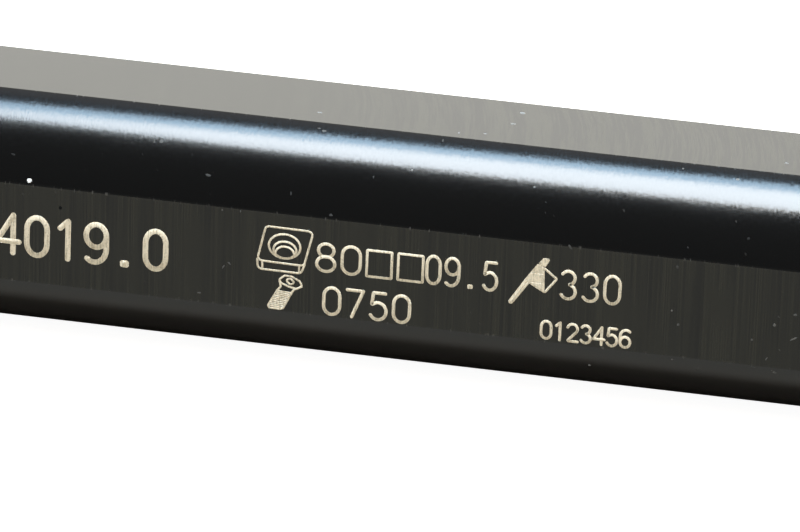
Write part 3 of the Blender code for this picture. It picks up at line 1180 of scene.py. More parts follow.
@dataclass
class Shank(Piece):
    """The bar's long sections: a round with its flats, which swells into the head."""

    radius: float = 9.525 * MM
    front: float = CAD_BOX[0].x
    rear: float = CAD_BOX[1].x
    axis_height: float = CAD_BOX[1].z / 2
    runout_radius: float = 25.0 * MM
    rear_chamfer: float = 1.0 * MM
    head_radius: float = 11.7 * MM
    head_slope: float = 0.2175
    head_far_reach: float = 9.675 * MM
    head_far_radius: float = 12.2 * MM
    taper: float = 10.0 * MM
    taper_end: float = -91.34 * MM
    edge_round: float = 0.17 * MM
    blend: float = 0.25 * MM
    far_steps: int = 28
    near_steps: int = 18
    round_steps: int = 5
    flat_steps: int = 6
    front_steps: int = 12
    runout_steps: int = 36
    soft_steps: int = 6
    soft_step: float = 0.5 * MM
    straight_steps: int = 40
    chamfer_round: float = 0.10 * MM
    chamfer_ease: float = 0.03 * MM

    @property
    def soft_run(self) -> float:
        """How far the edges' rounds take to reach their full size."""
        return self.soft_steps * self.soft_step

    @property
    def flat_reach(self) -> float:
        """How far each flat lies from the bar's axis."""
        return self.axis_height

    def near_radius(self, x: float) -> float:
        """The round's radius on the nose's side."""
        swell = self.radius + self.head_slope * self._soft_rise(self.taper_end - x)
        return self._soft_least(swell, self.head_radius)

    def far_circle(self, x: float) -> Point:
        """The far side's circle, as its centre across the bar and its radius.

        Args:
            x: The place along the bar.

        Returns:
            The circle's middle and radius.
        """
        near = self.near_radius(x)
        reach = min(near, self.head_far_reach) if near > self.radius else self.radius
        centre = self.head_far_reach - self.head_far_radius
        head_corner = centre + math.sqrt(self.head_far_radius**2 - self.flat_reach**2)
        swollen = math.sqrt(near**2 - self.flat_reach**2)
        corner = min(swollen, head_corner)
        middle = (corner**2 + self.flat_reach**2 - reach**2) / (2 * (corner - reach))
        return middle, reach - middle

    def marked_reach(self, x: float) -> float:
        """How far the marked flat lies from the bar's axis, with the cutter's run-out towards the head.

        Args:
            x: The place along the bar.

        Returns:
            The distance, which has no end ahead of the run-out.
        """
        ahead = max(0.0, self.taper_end - x)
        if ahead >= self.runout_radius:
            return math.inf
        return self.flat_reach + self.runout_radius - math.sqrt(self.runout_radius**2 - ahead**2)

    def _soft_rise(self, ahead: float) -> float:
        """The distance ahead, or 0, with a soft bend between them."""
        return (ahead + math.hypot(ahead, self.blend)) / 2

    def _soft_least(self, first: float, second: float) -> float:
        """The lesser of two lengths, with a soft bend between them."""
        bend = self.blend * self.head_slope
        return (first + second - math.hypot(first - second, bend)) / 2

    def half_section(self, x: float, chamfer: float) -> list[Point]:
        """The section's upper half, from its far side over the top flat to the marked flat.

        Args:
            x: The place along the bar.
            chamfer: How far the rounds are drawn in.

        Returns:
            Points as (across, height above the axis).
        """
        soft = self.edge_round * min(1.0, max(0.0, (x - self.taper_end) / self.soft_run)) + TINY
        near = self.near_radius(x) - chamfer
        middle, far = self.far_circle(x)
        far -= chamfer
        top = min(self.flat_reach, near, far)
        side = min(self.marked_reach(x), near)
        far_corner = self._corner(far, top, soft)
        near_corner = self._corner(near, top, soft)
        side_corner = self._corner(near, side, soft)
        far_turn = math.atan2(top - soft, far_corner)
        near_turn = math.pi - math.atan2(top - soft, near_corner)
        side_turn = math.pi - math.atan2(side_corner, side - soft)
        points = arc((middle, 0), far, 0, far_turn, self.far_steps)
        points += arc((middle + far_corner, top - soft), soft, far_turn, math.pi / 2, self.round_steps)
        points += self._between((middle + far_corner, top), (-near_corner, top))
        points += arc((-near_corner, top - soft), soft, math.pi / 2, near_turn, self.round_steps)
        points += arc((0, 0), near, near_turn, side_turn, self.near_steps)
        points += arc((-(side - soft), side_corner), soft, side_turn, math.pi, self.round_steps)
        return points + self._between((-side, side_corner), (-side, 0.0)) + [(-side, 0.0)]

    def _corner(self, radius: float, wall: float, soft: float) -> float:
        """How far from the middle of a wall its rounded corner with the circle has its centre."""
        return math.sqrt(max(0.0, (radius - soft) ** 2 - (wall - soft) ** 2))

    def _between(self, start: Point, end: Point) -> list[Point]:
        """Even points between two others."""
        shares = [step / self.flat_steps for step in range(1, self.flat_steps)]
        return [(start[0] + (end[0] - start[0]) * s, start[1] + (end[1] - start[1]) * s) for s in shares]

    def ring(self, x: float, chamfer: float) -> list[tuple[float, float, float]]:
        """The whole section at a place along the bar.

        Args:
            x: The place along the bar.
            chamfer: How far the rounds are drawn in.

        Returns:
            The section's points.
        """
        half = self.half_section(x, chamfer)
        whole = half + [(across, -height) for across, height in half[-2:0:-1]]
        return [(x, across, self.axis_height + height) for across, height in whole]

    def stations(self) -> list[Point]:
        """Places along the bar, each with its chamfer: close together where the section changes.

        Returns:
            Each place and its chamfer.
        """
        sunk = self.head_radius - self.flat_reach
        runout = math.sqrt(sunk * (2 * self.runout_radius - sunk))
        shares = [step / self.runout_steps for step in range(self.runout_steps + 1)]
        changing = [self.taper_end - runout * (1 - share**2) for share in shares]
        soft_start = [self.taper_end + (step + 1) * self.soft_step for step in range(self.soft_steps)]
        start, shank_end = soft_start[-1], self.rear - self.rear_chamfer
        run = shank_end - self.chamfer_round - start
        straight = [start + run * (step + 1) / self.straight_steps for step in range(self.straight_steps)]
        run = changing[0] - self.front
        front = [self.front + run * step / self.front_steps for step in range(self.front_steps)]
        places = [(x, 0.0) for x in front + changing + soft_start + straight]
        soft, ease, corner = self.chamfer_round, self.chamfer_ease, self.rear_chamfer
        places += [(shank_end, ease), (shank_end + soft, soft), (self.rear - soft, corner - soft)]
        return places + [(self.rear - ease, corner), (self.rear, corner + soft)]

    def blank(self) -> Mesh:
        """The bar before its head is milled."""
        return lofted("blank", [self.ring(x, chamfer) for x, chamfer in self.stations()])


@dataclass
class Insert(Piece):
    """The rhombic insert: ground sides, a chip groove along its edge, and a countersunk hole."""

    inscribed: float = 9.525 * MM
    thickness: float = 3.97 * MM
    nose_radius: float = 0.8 * MM
    clearance: float = math.radians(7)
    nose_angle: float = math.radians(80)
    approach: float = math.radians(95)
    land: float = 0.15 * MM
    groove: float = 0.9 * MM
    groove_depth: float = 0.15 * MM
    hone: float = 0.03 * MM
    hole_radius: float = 2.25 * MM
    mouth_radius: float = 3.16 * MM
    cone: float = math.radians(30)
    pip_radius: float = 0.34 * MM
    pip_height: float = 0.13 * MM
    pip_distance: float = 1.75 * MM
    tilt: float = math.radians(8)
    nose_overhang: float = 3.175 * MM
    corner_steps: int = 12
    side_steps: int = 14
    groove_steps: int = 12
    honed_share: float = 0.3
    least_radius: float = 0.02 * MM
    plateau_shares: Span = (0.35, 0.75)
    mouth_round: tuple[Point, ...] = ((0.12 * MM, 0.0), (0.04 * MM, -0.02 * MM), (-0.02 * MM, -0.07 * MM))
    foot_round: float = 0.08 * MM
    foot_ease: float = 0.01 * MM
    crease: float = math.radians(35)

    @property
    def half(self) -> float:
        """The inscribed circle's radius."""
        return self.inscribed / 2

    @property
    def corner_turn(self) -> float:
        """How far the outline turns at a cutting corner."""
        return math.pi - self.nose_angle

    @property
    def nose_direction(self) -> float:
        """Where the nose points, seen from the insert's middle."""
        return 2 * math.pi - self.approach - self.nose_angle / 2

    @property
    def front_normal(self) -> float:
        """Where the front cutting edge faces."""
        return self.nose_direction - self.corner_turn / 2

    @property
    def nose_reach(self) -> float:
        """From the insert's middle to the centre of the nose's round."""
        return (self.half - self.nose_radius) / math.cos(self.corner_turn / 2)

    @property
    def middle(self) -> Point:
        """The insert's middle, along the bar and inwards from the nose."""
        x = CAD_BOX[0].x + self.nose_radius - self.nose_reach * math.cos(self.nose_direction)
        return x, self.nose_radius - self.nose_reach * math.sin(self.nose_direction)

    def seat(self, shank: Shank) -> Matrix:
        """The seat's frame: along the bar, inwards from the nose, and up from the insert's top."""
        nose = Vector((0, -(shank.radius + self.nose_overhang), shank.axis_height))
        return Matrix.Translation(nose) @ Matrix.Rotation(self.tilt, 4, "X")

    def frame(self, shank: Shank) -> Matrix:
        """The seat's frame, moved to the middle of the insert's top."""
        return self.seat(shank) @ Matrix.Translation((*self.middle, 0))

    def outline(self, inset: float) -> list[Point]:
        """The insert's outline from above, drawn in by the inset, or out where that is negative.

        Args:
            inset: How far it is drawn in.

        Returns:
            The outline's points.
        """
        radius = max(self.nose_radius - inset, self.least_radius)
        half = self.half - inset
        start = self.front_normal
        corners = []
        for turn in (self.corner_turn, math.pi - self.corner_turn) * 2:
            out = (half - radius) / math.cos(turn / 2)
            centre = (out * math.cos(start + turn / 2), out * math.sin(start + turn / 2))
            corners.append(arc(centre, radius, start, start + turn, self.corner_steps))
            start += turn
        points = []
        for corner, following in zip(corners, corners[1:] + corners[:1]):
            (x0, y0), (x1, y1) = corner[-1], following[0]
            shares = [step / self.side_steps for step in range(1, self.side_steps)]
            points += corner + [(x0 + (x1 - x0) * s, y0 + (y1 - y0) * s) for s in shares]
        return points

    def _ring(self, inset: float, height: float) -> list[Vector]:
        """A level ring of the outline."""
        return [Vector((x, y, height)) for x, y in self.outline(inset)]

    def _round_ring(self, radius: float, height: float) -> list[Vector]:
        """A level circle, whose points lie in line with the outline's."""
        spokes = (Vector((x, y, 0)).normalized() * radius for x, y in self.outline(0.0))
        return [Vector((spoke.x, spoke.y, height)) for spoke in spokes]

    def _groove_height(self, inset: float) -> float:
        """The top's height at a distance in from the cutting edge."""
        share = min(1.0, max(0.0, (inset - self.land) / self.groove))
        return -self.groove_depth * math.sin(math.pi * share) ** 2

    def _with_pips(self, ring: Iterable[Vector]) -> list[Vector]:
        """Raises the chip-breaking pip behind each cutting corner.

        Args:
            ring: A ring of the top's points.

        Returns:
            The ring, raised where the pips are.
        """
        out = self.nose_reach + self.nose_radius - self.pip_distance
        direction = Vector((math.cos(self.nose_direction), math.sin(self.nose_direction), 0))
        raised = []
        for point in ring:
            flat = Vector((point.x, point.y, 0))
            nearest = min((flat - direction * out).length, (flat + direction * out).length)
            lift = self.pip_height * math.exp(-((nearest / self.pip_radius) ** 2))
            raised.append(point + Vector((0, 0, lift)))
        return raised

    def _top_rings(self) -> list[list[Vector]]:
        """From the honed cutting edge over the land and the groove to the hole's mouth.

        Returns:
            The rings, from the edge inwards.
        """
        honed = self.hone * self.honed_share
        rings = [self._ring(0.0, -self.hone), self._ring(honed, -honed), self._ring(self.hone, 0)]
        groove_end = self.land + self.groove
        insets = [self.land + self.groove * step / self.groove_steps for step in range(self.groove_steps + 1)]
        rings += [self._with_pips(self._ring(inset, self._groove_height(inset))) for inset in insets]
        plateau = self._ring(groove_end, 0.0)
        mouth = [self._round_ring(self.mouth_radius + out, up) for out, up in self.mouth_round]
        for share in self.plateau_shares:
            rings.append(self._with_pips(a.lerp(b, share) for a, b in zip(plateau, mouth[0])))
        return rings + mouth

    def mesh(self) -> Mesh:
        """The whole insert, about the middle of its top.

        Returns:
            The mesh.
        """
        drop = (self.mouth_radius - self.hole_radius) / math.tan(self.cone)
        bottom = -self.thickness
        foot = self.thickness * math.tan(self.clearance)
        soft = self.foot_round
        rings = self._top_rings()
        rings += [self._round_ring(self.hole_radius, height) for height in (-drop, bottom + soft)]
        rings += [self._round_ring(self.hole_radius + soft, bottom), self._ring(foot + soft, bottom)]
        rings.append(self._ring(foot + self.foot_ease, bottom + soft / 2))
        rings.append(self._ring(foot - self.foot_ease, bottom + soft * 2))
        return lofted("insert", rings, capped=False)

    def build(self, shank: Shank) -> Object:
        """Builds, dresses and places the insert.

        Args:
            shank: The bar's shank.

        Returns:
            The piece.
        """
        mesh = self.mesh()
        mesh.transform(self.frame(shank))
        finish = GroundCarbide("ground_carbide", (0.23, 0.225, 0.22), roughness=0.36, metallic=0.85)
        return self.place("carbide_insert", shaded(mesh, self.crease), finish, Node.INSERT)


@dataclass
class InsertScrew(Piece):
    """The countersunk screw: a six-lobe recess, a cone that seats in the insert, and a rolled thread."""

    thread_radius: float = 2.0 * MM
    thread_pitch: float = 0.7 * MM
    thread_depth: float = 0.40 * MM
    head_flare: float = 0.8 * MM
    cone: float = math.radians(30)
    rim: float = 0.25 * MM
    head_drop: float = 0.3 * MM
    length: float = 8.0 * MM
    recess_radius: float = 1.635 * MM
    recess_depth: float = 1.3 * MM
    lobe_depth: float = 0.23 * MM
    lobes: int = 6
    turn_steps: int = 72
    thread_steps: int = 14
    neck_depth: float = 0.75
    thread_room: Span = (0.65 * MM, 0.45 * MM)
    crease: float = math.radians(38)
    recess_floor: tuple[Point, ...] = ((0.0, -0.35 * MM), (0.7 * MM, -0.12 * MM))
    recess_foot: tuple[Point, ...] = ((-0.06 * MM, 0.0), (0.0, 0.07 * MM))
    recess_mouth: tuple[Point, ...] = ((0.0, -0.07 * MM), (0.02 * MM, -0.02 * MM), (0.07 * MM, 0.0))
    head_edge: tuple[Point, ...] = ((-0.12 * MM, 0.0), (-0.04 * MM, -0.03 * MM), (0.0, -0.10 * MM))
    rim_edge: tuple[Point, ...] = ((0.0, 0.03 * MM), (-0.02 * MM, -0.03 * MM))
    neck_edge: tuple[Point, ...] = ((0.03 * MM, 0.05 * MM), (0.0, -0.05 * MM), (0.0, -0.35 * MM))
    tip_edge: tuple[Point, ...] = ((-0.42 * MM, 0.02 * MM), (-0.48 * MM, 0.0))

    @property
    def tip(self) -> float:
        """The tip's height, under 0 below the insert's top."""
        return -self.head_drop - self.length

    def profile(self) -> Profile:
        """From the recess's floor over the head and down the thread to the tip.

        Returns:
            The profile.
        """
        top = -self.head_drop
        floor = top - self.recess_depth
        head = self.thread_radius + self.head_flare
        neck = self.thread_radius - self.thread_depth * self.neck_depth
        cone_top = top - self.rim
        cone_end = cone_top - (head - neck) / math.tan(self.cone)
        line = Profile("screw_profile").corner(0, floor, self.recess_floor)
        line.corner(self.recess_radius, floor, self.recess_foot, lobe=1)
        line.corner(self.recess_radius, top, self.recess_mouth, lobe=1)
        line.to((self.recess_radius + head) / 2, top).corner(head, top, self.head_edge)
        line.corner(head, cone_top, self.rim_edge).corner(neck, cone_end, self.neck_edge)
        start, end = cone_end - self.thread_room[0], self.tip + self.thread_room[1]
        line.threaded(self.thread_radius, start, end, self.thread_pitch, self.thread_steps)
        return line.corner(self.thread_radius, self.tip, self.tip_edge).to(0, self.tip)

    def inputs(self) -> dict[str, object]:
        """What the turning recipe needs for this screw.

        Returns:
            The recipe's inputs.
        """
        return {
            "Steps": self.turn_steps,
            "Lobes": self.lobes,
            "Lobe Depth": self.lobe_depth,
            "Pitch": self.thread_pitch,
            "Thread Depth": self.thread_depth,
        }

    def build(self, turned: TurnedRecipe, place: Matrix) -> Object:
        """Builds, dresses and places the screw.

        Args:
            turned: The recipe that turns a profile.
            place: The frame of the insert's top.

        Returns:
            The piece.
        """
        mesh = turned.turn(self.profile(), self.inputs(), place)
        middle = place @ Vector((0, 0, -self.head_drop))
        colour = (0.19, 0.19, 0.20)
        finish = ScrewSteel("screw_steel", colour, roughness=0.30, metallic=1.0, axis_point=tuple(middle))
        return self.place("threaded_screw", shaded(mesh, self.crease), finish, Node.SCREW)


@dataclass
class Head(Piece):
    """What is milled and drilled into the bar's head: the gullet, the front, the seat and the tapped hole."""

    gullet_drop: float = 0.4 * MM
    gullet_margin: float = 1.5 * MM
    gullet_radius: float = 8.0 * MM
    gullet_slope: float = math.radians(40)
    shoulder_margin: float = 4.5 * MM
    shoulder_slope: float = math.radians(30)
    front_setback: float = 0.5 * MM
    front_relief: float = math.radians(8)
    seat_gap: float = 0.03 * MM
    relief_radius: float = 1.0 * MM
    tapping_radius: float = 1.66 * MM
    reach: float = 24.0 * MM
    edge_round: float = 0.10 * MM
    shortest: float = 0.07 * MM
    tidy_end: float = -105.0 * MM
    tidy_rounds: int = 3
    overrun: float = 0.6 * MM
    bend_steps: int = 28
    drill_steps: int = 48
    tap_room: float = 0.03 * MM
    tap_start: float = 0.2 * MM
    tap_lead: float = 0.05 * MM
    tap_shallow: float = 0.02 * MM
    tap_share: float = 0.55
    round_angle: float = math.radians(30)
    round_margin: float = 2 * MM
    crease: float = math.radians(32)

    def gullet(self, insert: Insert, seat: Matrix) -> Mesh:
        """The room for chips: a flat floor, a round, a ramp behind it, and a sloping shoulder.

        Args:
            insert: The insert.
            seat: The seat's frame.

        Returns:
            The cutter.
        """
        floor_end = 2 * insert.middle[0] - CAD_BOX[0].x + self.gullet_margin
        centre = (floor_end, self.gullet_radius - self.gullet_drop)
        down = -math.pi / 2
        bend = arc(centre, self.gullet_radius, down, down + self.gullet_slope, self.bend_steps)
        rise = (self.reach * math.cos(self.gullet_slope), self.reach * math.sin(self.gullet_slope))
        top = (bend[-1][0] + rise[0], bend[-1][1] + rise[1])
        front = CAD_BOX[0].x - self.reach
        side = [(front, -self.gullet_drop), *bend, top, (front, top[1])]
        upright = Matrix.Rotation(math.pi / 2, 4, "X")
        gullet = prism("gullet", side, -2 * self.reach, 2 * self.reach, seat @ upright)
        return carved(gullet, self._shoulder(insert, seat), Cut.SHARED)

    def _shoulder(self, insert: Insert, seat: Matrix) -> Mesh:
        """The gullet's cross section: open towards the nose, and sloping up on the far side.

        Args:
            insert: The insert.
            seat: The seat's frame.

        Returns:
            The cutter that bounds the gullet.
        """
        edge = 2 * insert.middle[1] + self.shoulder_margin
        run = self.reach
        bottom = -2 * self.gullet_drop
        fall = self.gullet_drop / math.tan(self.shoulder_slope)
        top = run * math.tan(self.shoulder_slope) - self.gullet_drop
        cross = [(-run, bottom), (edge - fall, bottom), (edge + run, top), (-run, top)]
        lie_down = Matrix(((0, 0, 1, 0), (1, 0, 0, 0), (0, 1, 0, 0), (0, 0, 0, 1)))
        return prism("shoulder", cross, CAD_BOX[0].x - self.reach, 0.0, seat @ lie_down)

    def front(self, insert: Insert, place: Matrix) -> Mesh:
        """The block beyond the end face, which leans back below the front cutting edge.

        Args:
            insert: The insert.
            place: The frame of the insert's top.

        Returns:
            The cutter.
        """
        turn = insert.front_normal
        normal = Vector((math.cos(turn), math.sin(turn), -math.tan(self.front_relief))).normalized()
        normal = place.to_3x3() @ normal
        out = insert.half - self.front_setback
        point = place @ Vector((out * math.cos(turn), out * math.sin(turn), 0))
        lay = normal.to_track_quat("Z", "Y").to_matrix().to_4x4()
        half = 2 * self.reach
        square = [(-half, -half), (half, -half), (half, half), (-half, half)]
        return prism("front", square, 0.0, half, Matrix.Translation(point) @ lay)

    def pocket(self, insert: Insert, place: Matrix) -> Mesh:
        """The insert's seat: two slanted walls a hair away from the insert, open towards the nose and above.

        Args:
            insert: The insert.
            place: The frame of the insert's top.

        Returns:
            The cutter.
        """
        back = insert.nose_direction + math.pi
        sides = [insert.nose_direction + turn * insert.nose_angle / 2 for turn in (-1, 0, 1)]
        rings = []
        for height in (-insert.thickness - self.seat_gap, self.overrun):
            inset = -height * math.tan(insert.clearance) - self.seat_gap
            out = (insert.half - inset) / math.cos(insert.corner_turn / 2)
            corner = Vector((math.cos(back), math.sin(back))) * out
            ends = (corner + Vector((math.cos(a), math.sin(a))) * self.reach for a in sides)
            rings.append([(*point, height) for point in (corner, *ends)])
        mesh = lofted("pocket", rings)
        mesh.transform(place)
        return mesh

    def drill(self, radius: float, depth: float, place: Matrix) -> Mesh:
        """A drill from above the insert's top down to a depth below it."""
        circle = arc((0, 0), radius, 0, math.tau, self.drill_steps)[:-1]
        return prism("drill", circle, -depth, self.overrun, place)

    def tap(self, turned: TurnedRecipe, screw: InsertScrew, insert: Insert, place: Matrix) -> Mesh:
        """The tapped hole, a hair wider than the screw's thread.

        Args:
            turned: The recipe that turns a profile.
            screw: The screw.
            insert: The insert.
            place: The frame of the insert's top.

        Returns:
            The cutter.
        """
        wide = screw.thread_radius + self.tap_room
        start = -insert.thickness + self.tap_start
        end = -self.reach * self.tap_share
        line = Profile("tap_profile").to(0, start).to(wide, start)
        line.threaded(wide, start - self.tap_lead, end, screw.thread_pitch, screw.thread_steps)
        line.to(0, end)
        line.threads = [1.0 if share > 0 else 0.0 for share in line.threads]
        depth = screw.thread_depth - self.tap_shallow
        return turned.turn(line, screw.inputs() | {"Steps": self.drill_steps, "Thread Depth": depth}, place)

    def build(
        self, shank: Shank, insert: Insert, screw: InsertScrew, turned: TurnedRecipe
    ) -> Object:
        """Mills the head into the bar's blank, then dresses and places the bar.

        Args:
            shank: The bar's shank.
            insert: The insert.
            screw: The screw.
            turned: The recipe that turns a profile.

        Returns:
            The piece.
        """
        seat, place = insert.seat(shank), insert.frame(shank)
        bar = carved(shank.blank(), self.gullet(insert, seat))
        bar = carved(bar, self.front(insert, place))
        bar = carved(bar, self.pocket(insert, place))
        corner = insert.nose_reach + self.seat_gap
        turn = insert.nose_direction + math.pi
        relief = place @ Matrix.Translation((corner * math.cos(turn), corner * math.sin(turn), 0))
        bar = carved(bar, self.drill(self.relief_radius, insert.thickness + self.seat_gap, relief))
        bar = carved(bar, self.drill(self.tapping_radius, self.reach, place))
        bar = edited(bar, self._tidied)
        bar = softened(bar, self.edge_round, self.round_angle, shank.taper_end - self.round_margin)
        bar = carved(bar, self.tap(turned, screw, insert, place))
        bar = edited(bar, unslivered)
        finish = BlackOxide(
            "black_oxide",
            colour=(0.0024, 0.0023, 0.0022),
            roughness=0.15,
            gloss=0.27,
            axis_height=shank.axis_height,
            shank_radius=shank.radius,
            flat_reach=shank.flat_reach,
            marked_start=shank.taper_end,
        )
        return self.place("steel_bar", shaded(bar, self.crease), finish, Node.BAR)

    def _tidied(self, solid: BMesh) -> None:
        """Collapses the edges that the cuts left too short for an edge's round to follow.

        Args:
            solid: The mesh, opened for editing.
        """
        for _ in range(self.tidy_rounds):
            head = (edge for edge in solid.edges if max(vert.co.x for vert in edge.verts) < self.tidy_end)
            short = [edge for edge in head if edge.calc_length() < self.shortest]
            bmesh.ops.collapse(solid, edges=short)


@dataclass(frozen=True)
class Bow:
    """A piece of an ellipse in a figure, in cap heights, from one angle in degrees to another."""

    x: float
    y: float
    half_width: float
    half_height: float
    start: float
    end: float

    def points(self) -> list[Point]:
        """Points along the bow.

        Returns:
            The points, both ends included.
        """
        turn = self.end - self.start
        steps = max(LEAST_BOW_STEPS, round(abs(turn) / BOW_STEP))
        angles = [math.radians(self.start + turn * step / steps) for step in range(steps + 1)]
        across, up = self.half_width, self.half_height
        return [(self.x + across * math.cos(angle), self.y + up * math.sin(angle)) for angle in angles]


Step = Point | Bow
Strokes = tuple[tuple[Step, ...], ...]

FIGURES: dict[str, list[list[Step]]] = {
    "0": [[Bow(0.28, 0.68, 0.28, 0.32, 0, 180), Bow(0.28, 0.32, 0.28, 0.32, 180, 360), (0.56, 0.68)]],
    "1": [[(0.10, 0.80), (0.32, 1.0)], [(0.32, 1.0), (0.32, 0.0)]],
    "2": [[Bow(0.28, 0.72, 0.28, 0.28, 165, -38), (0.0, 0.0), (0.58, 0.0)]],
    "3": [[Bow(0.28, 0.76, 0.25, 0.24, 150, -90), Bow(0.28, 0.26, 0.28, 0.26, 90, -150)]],
    "4": [[(0.44, 0.0), (0.44, 1.0)], [(0.44, 1.0), (0.0, 0.30)], [(0.0, 0.30), (0.60, 0.30)]],
    "5": [[(0.52, 1.0), (0.10, 1.0), (0.05, 0.53), Bow(0.27, 0.32, 0.29, 0.32, 130, -150)]],
    "6": [[Bow(0.32, 0.64, 0.32, 0.36, 50, 180), (0.0, 0.30)], [Bow(0.28, 0.30, 0.28, 0.30, 0, 360)]],
    "7": [[(0.0, 1.0), (0.56, 1.0)], [(0.56, 1.0), (0.18, 0.0)]],
    "8": [[Bow(0.28, 0.76, 0.24, 0.24, -90, 270)], [Bow(0.28, 0.27, 0.28, 0.27, 90, 450)]],
    "9": [[Bow(0.24, 0.36, 0.32, 0.36, 230, 360), (0.56, 0.70)], [Bow(0.28, 0.70, 0.28, 0.30, 0, 360)]],
    ".": [[(0.20, 0.02), (0.30, 0.02)], [(0.20, 0.07), (0.30, 0.07)]],
    "#": [[(0.04, 0.0), (0.88, 0.0), (0.88, 0.95), (0.04, 0.95), (0.04, 0.0)]],
}


@dataclass(frozen=True)
class Figures:
    """A row of plain figures on the marked flat, in millimetres from the bar's middle and axis."""

    text: str
    x: float
    z: float
    height: float
    advance: float
    weight: float
    stretch: float = 0.9
    square_advance: float = 0.0
    corner: float = 0.05

    def paths(self) -> list[list[Point]]:
        """The strokes' points, in metres.

        Returns:
            The points of each stroke.
        """
        paths = []
        left = self.x
        for mark in self.text:
            for stroke in FIGURES[mark]:
                wide, tall = self.height * self.stretch, self.height
                paths.append([((left + wide * x) * MM, (self.z + tall * y) * MM) for x, y in chained(stroke)])
            left += self.square_advance if mark == "#" else self.advance
        return paths


@dataclass(frozen=True)
class Picture:
    """A small line picture on the marked flat, in millimetres from the bar's middle and axis."""

    weight: float
    corner: float
    strokes: Strokes

    def paths(self) -> list[list[Point]]:
        """The strokes' points, in metres."""
        return [[(x * MM, z * MM) for x, z in chained(stroke)] for stroke in self.strokes]


def chained(stroke: Iterable[Step]) -> list[Point]:
    """A stroke's points, with its bows drawn out, and none of them twice in a row.

    Args:
        stroke: The stroke's points and bows, in order.

    Returns:
        The points.
    """
    points: list[Point] = []
    for step in stroke:
        for point in step.points() if isinstance(step, Bow) else [step]:
            if not points or math.dist(point, points[-1]) > SAME_POINT:
                points.append(point)
    return points


def rungs(first: Line, second: Line, count: int) -> tuple[Line, ...]:
    """Even strokes from one side line to the other, like a ladder's.

    Args:
        first: One side line's two ends.
        second: The other's.
        count: How many strokes.

    Returns:
        The strokes.
    """
    strokes = []
    for index in range(count):
        share = index / (count - 1)
        ends = [(x0 + (x1 - x0) * share, z0 + (z1 - z0) * share) for (x0, z0), (x1, z1) in (first, second)]
        strokes.append((ends[0], ends[1]))
    return tuple(strokes)


def hatched(corners: Sequence[Point]) -> Strokes:
    """Level strokes that fill a convex outline.

    Args:
        corners: The outline, in millimetres.

    Returns:
        One stroke for each level.
    """
    low, high = min(z for _, z in corners), max(z for _, z in corners)
    strokes = []
    for index in range(1, round((high - low) / HATCH_STEP)):
        level = low + HATCH_STEP * index
        crossings = []
        for (x0, z0), (x1, z1) in zip(corners, [*corners[1:], corners[0]]):
            if min(z0, z1) <= level < max(z0, z1):
                crossings.append(x0 + (x1 - x0) * (level - z0) / (z1 - z0))
        if len(crossings) == 2:
            strokes.append(((min(crossings), level), (max(crossings), level)))
    return tuple(strokes)


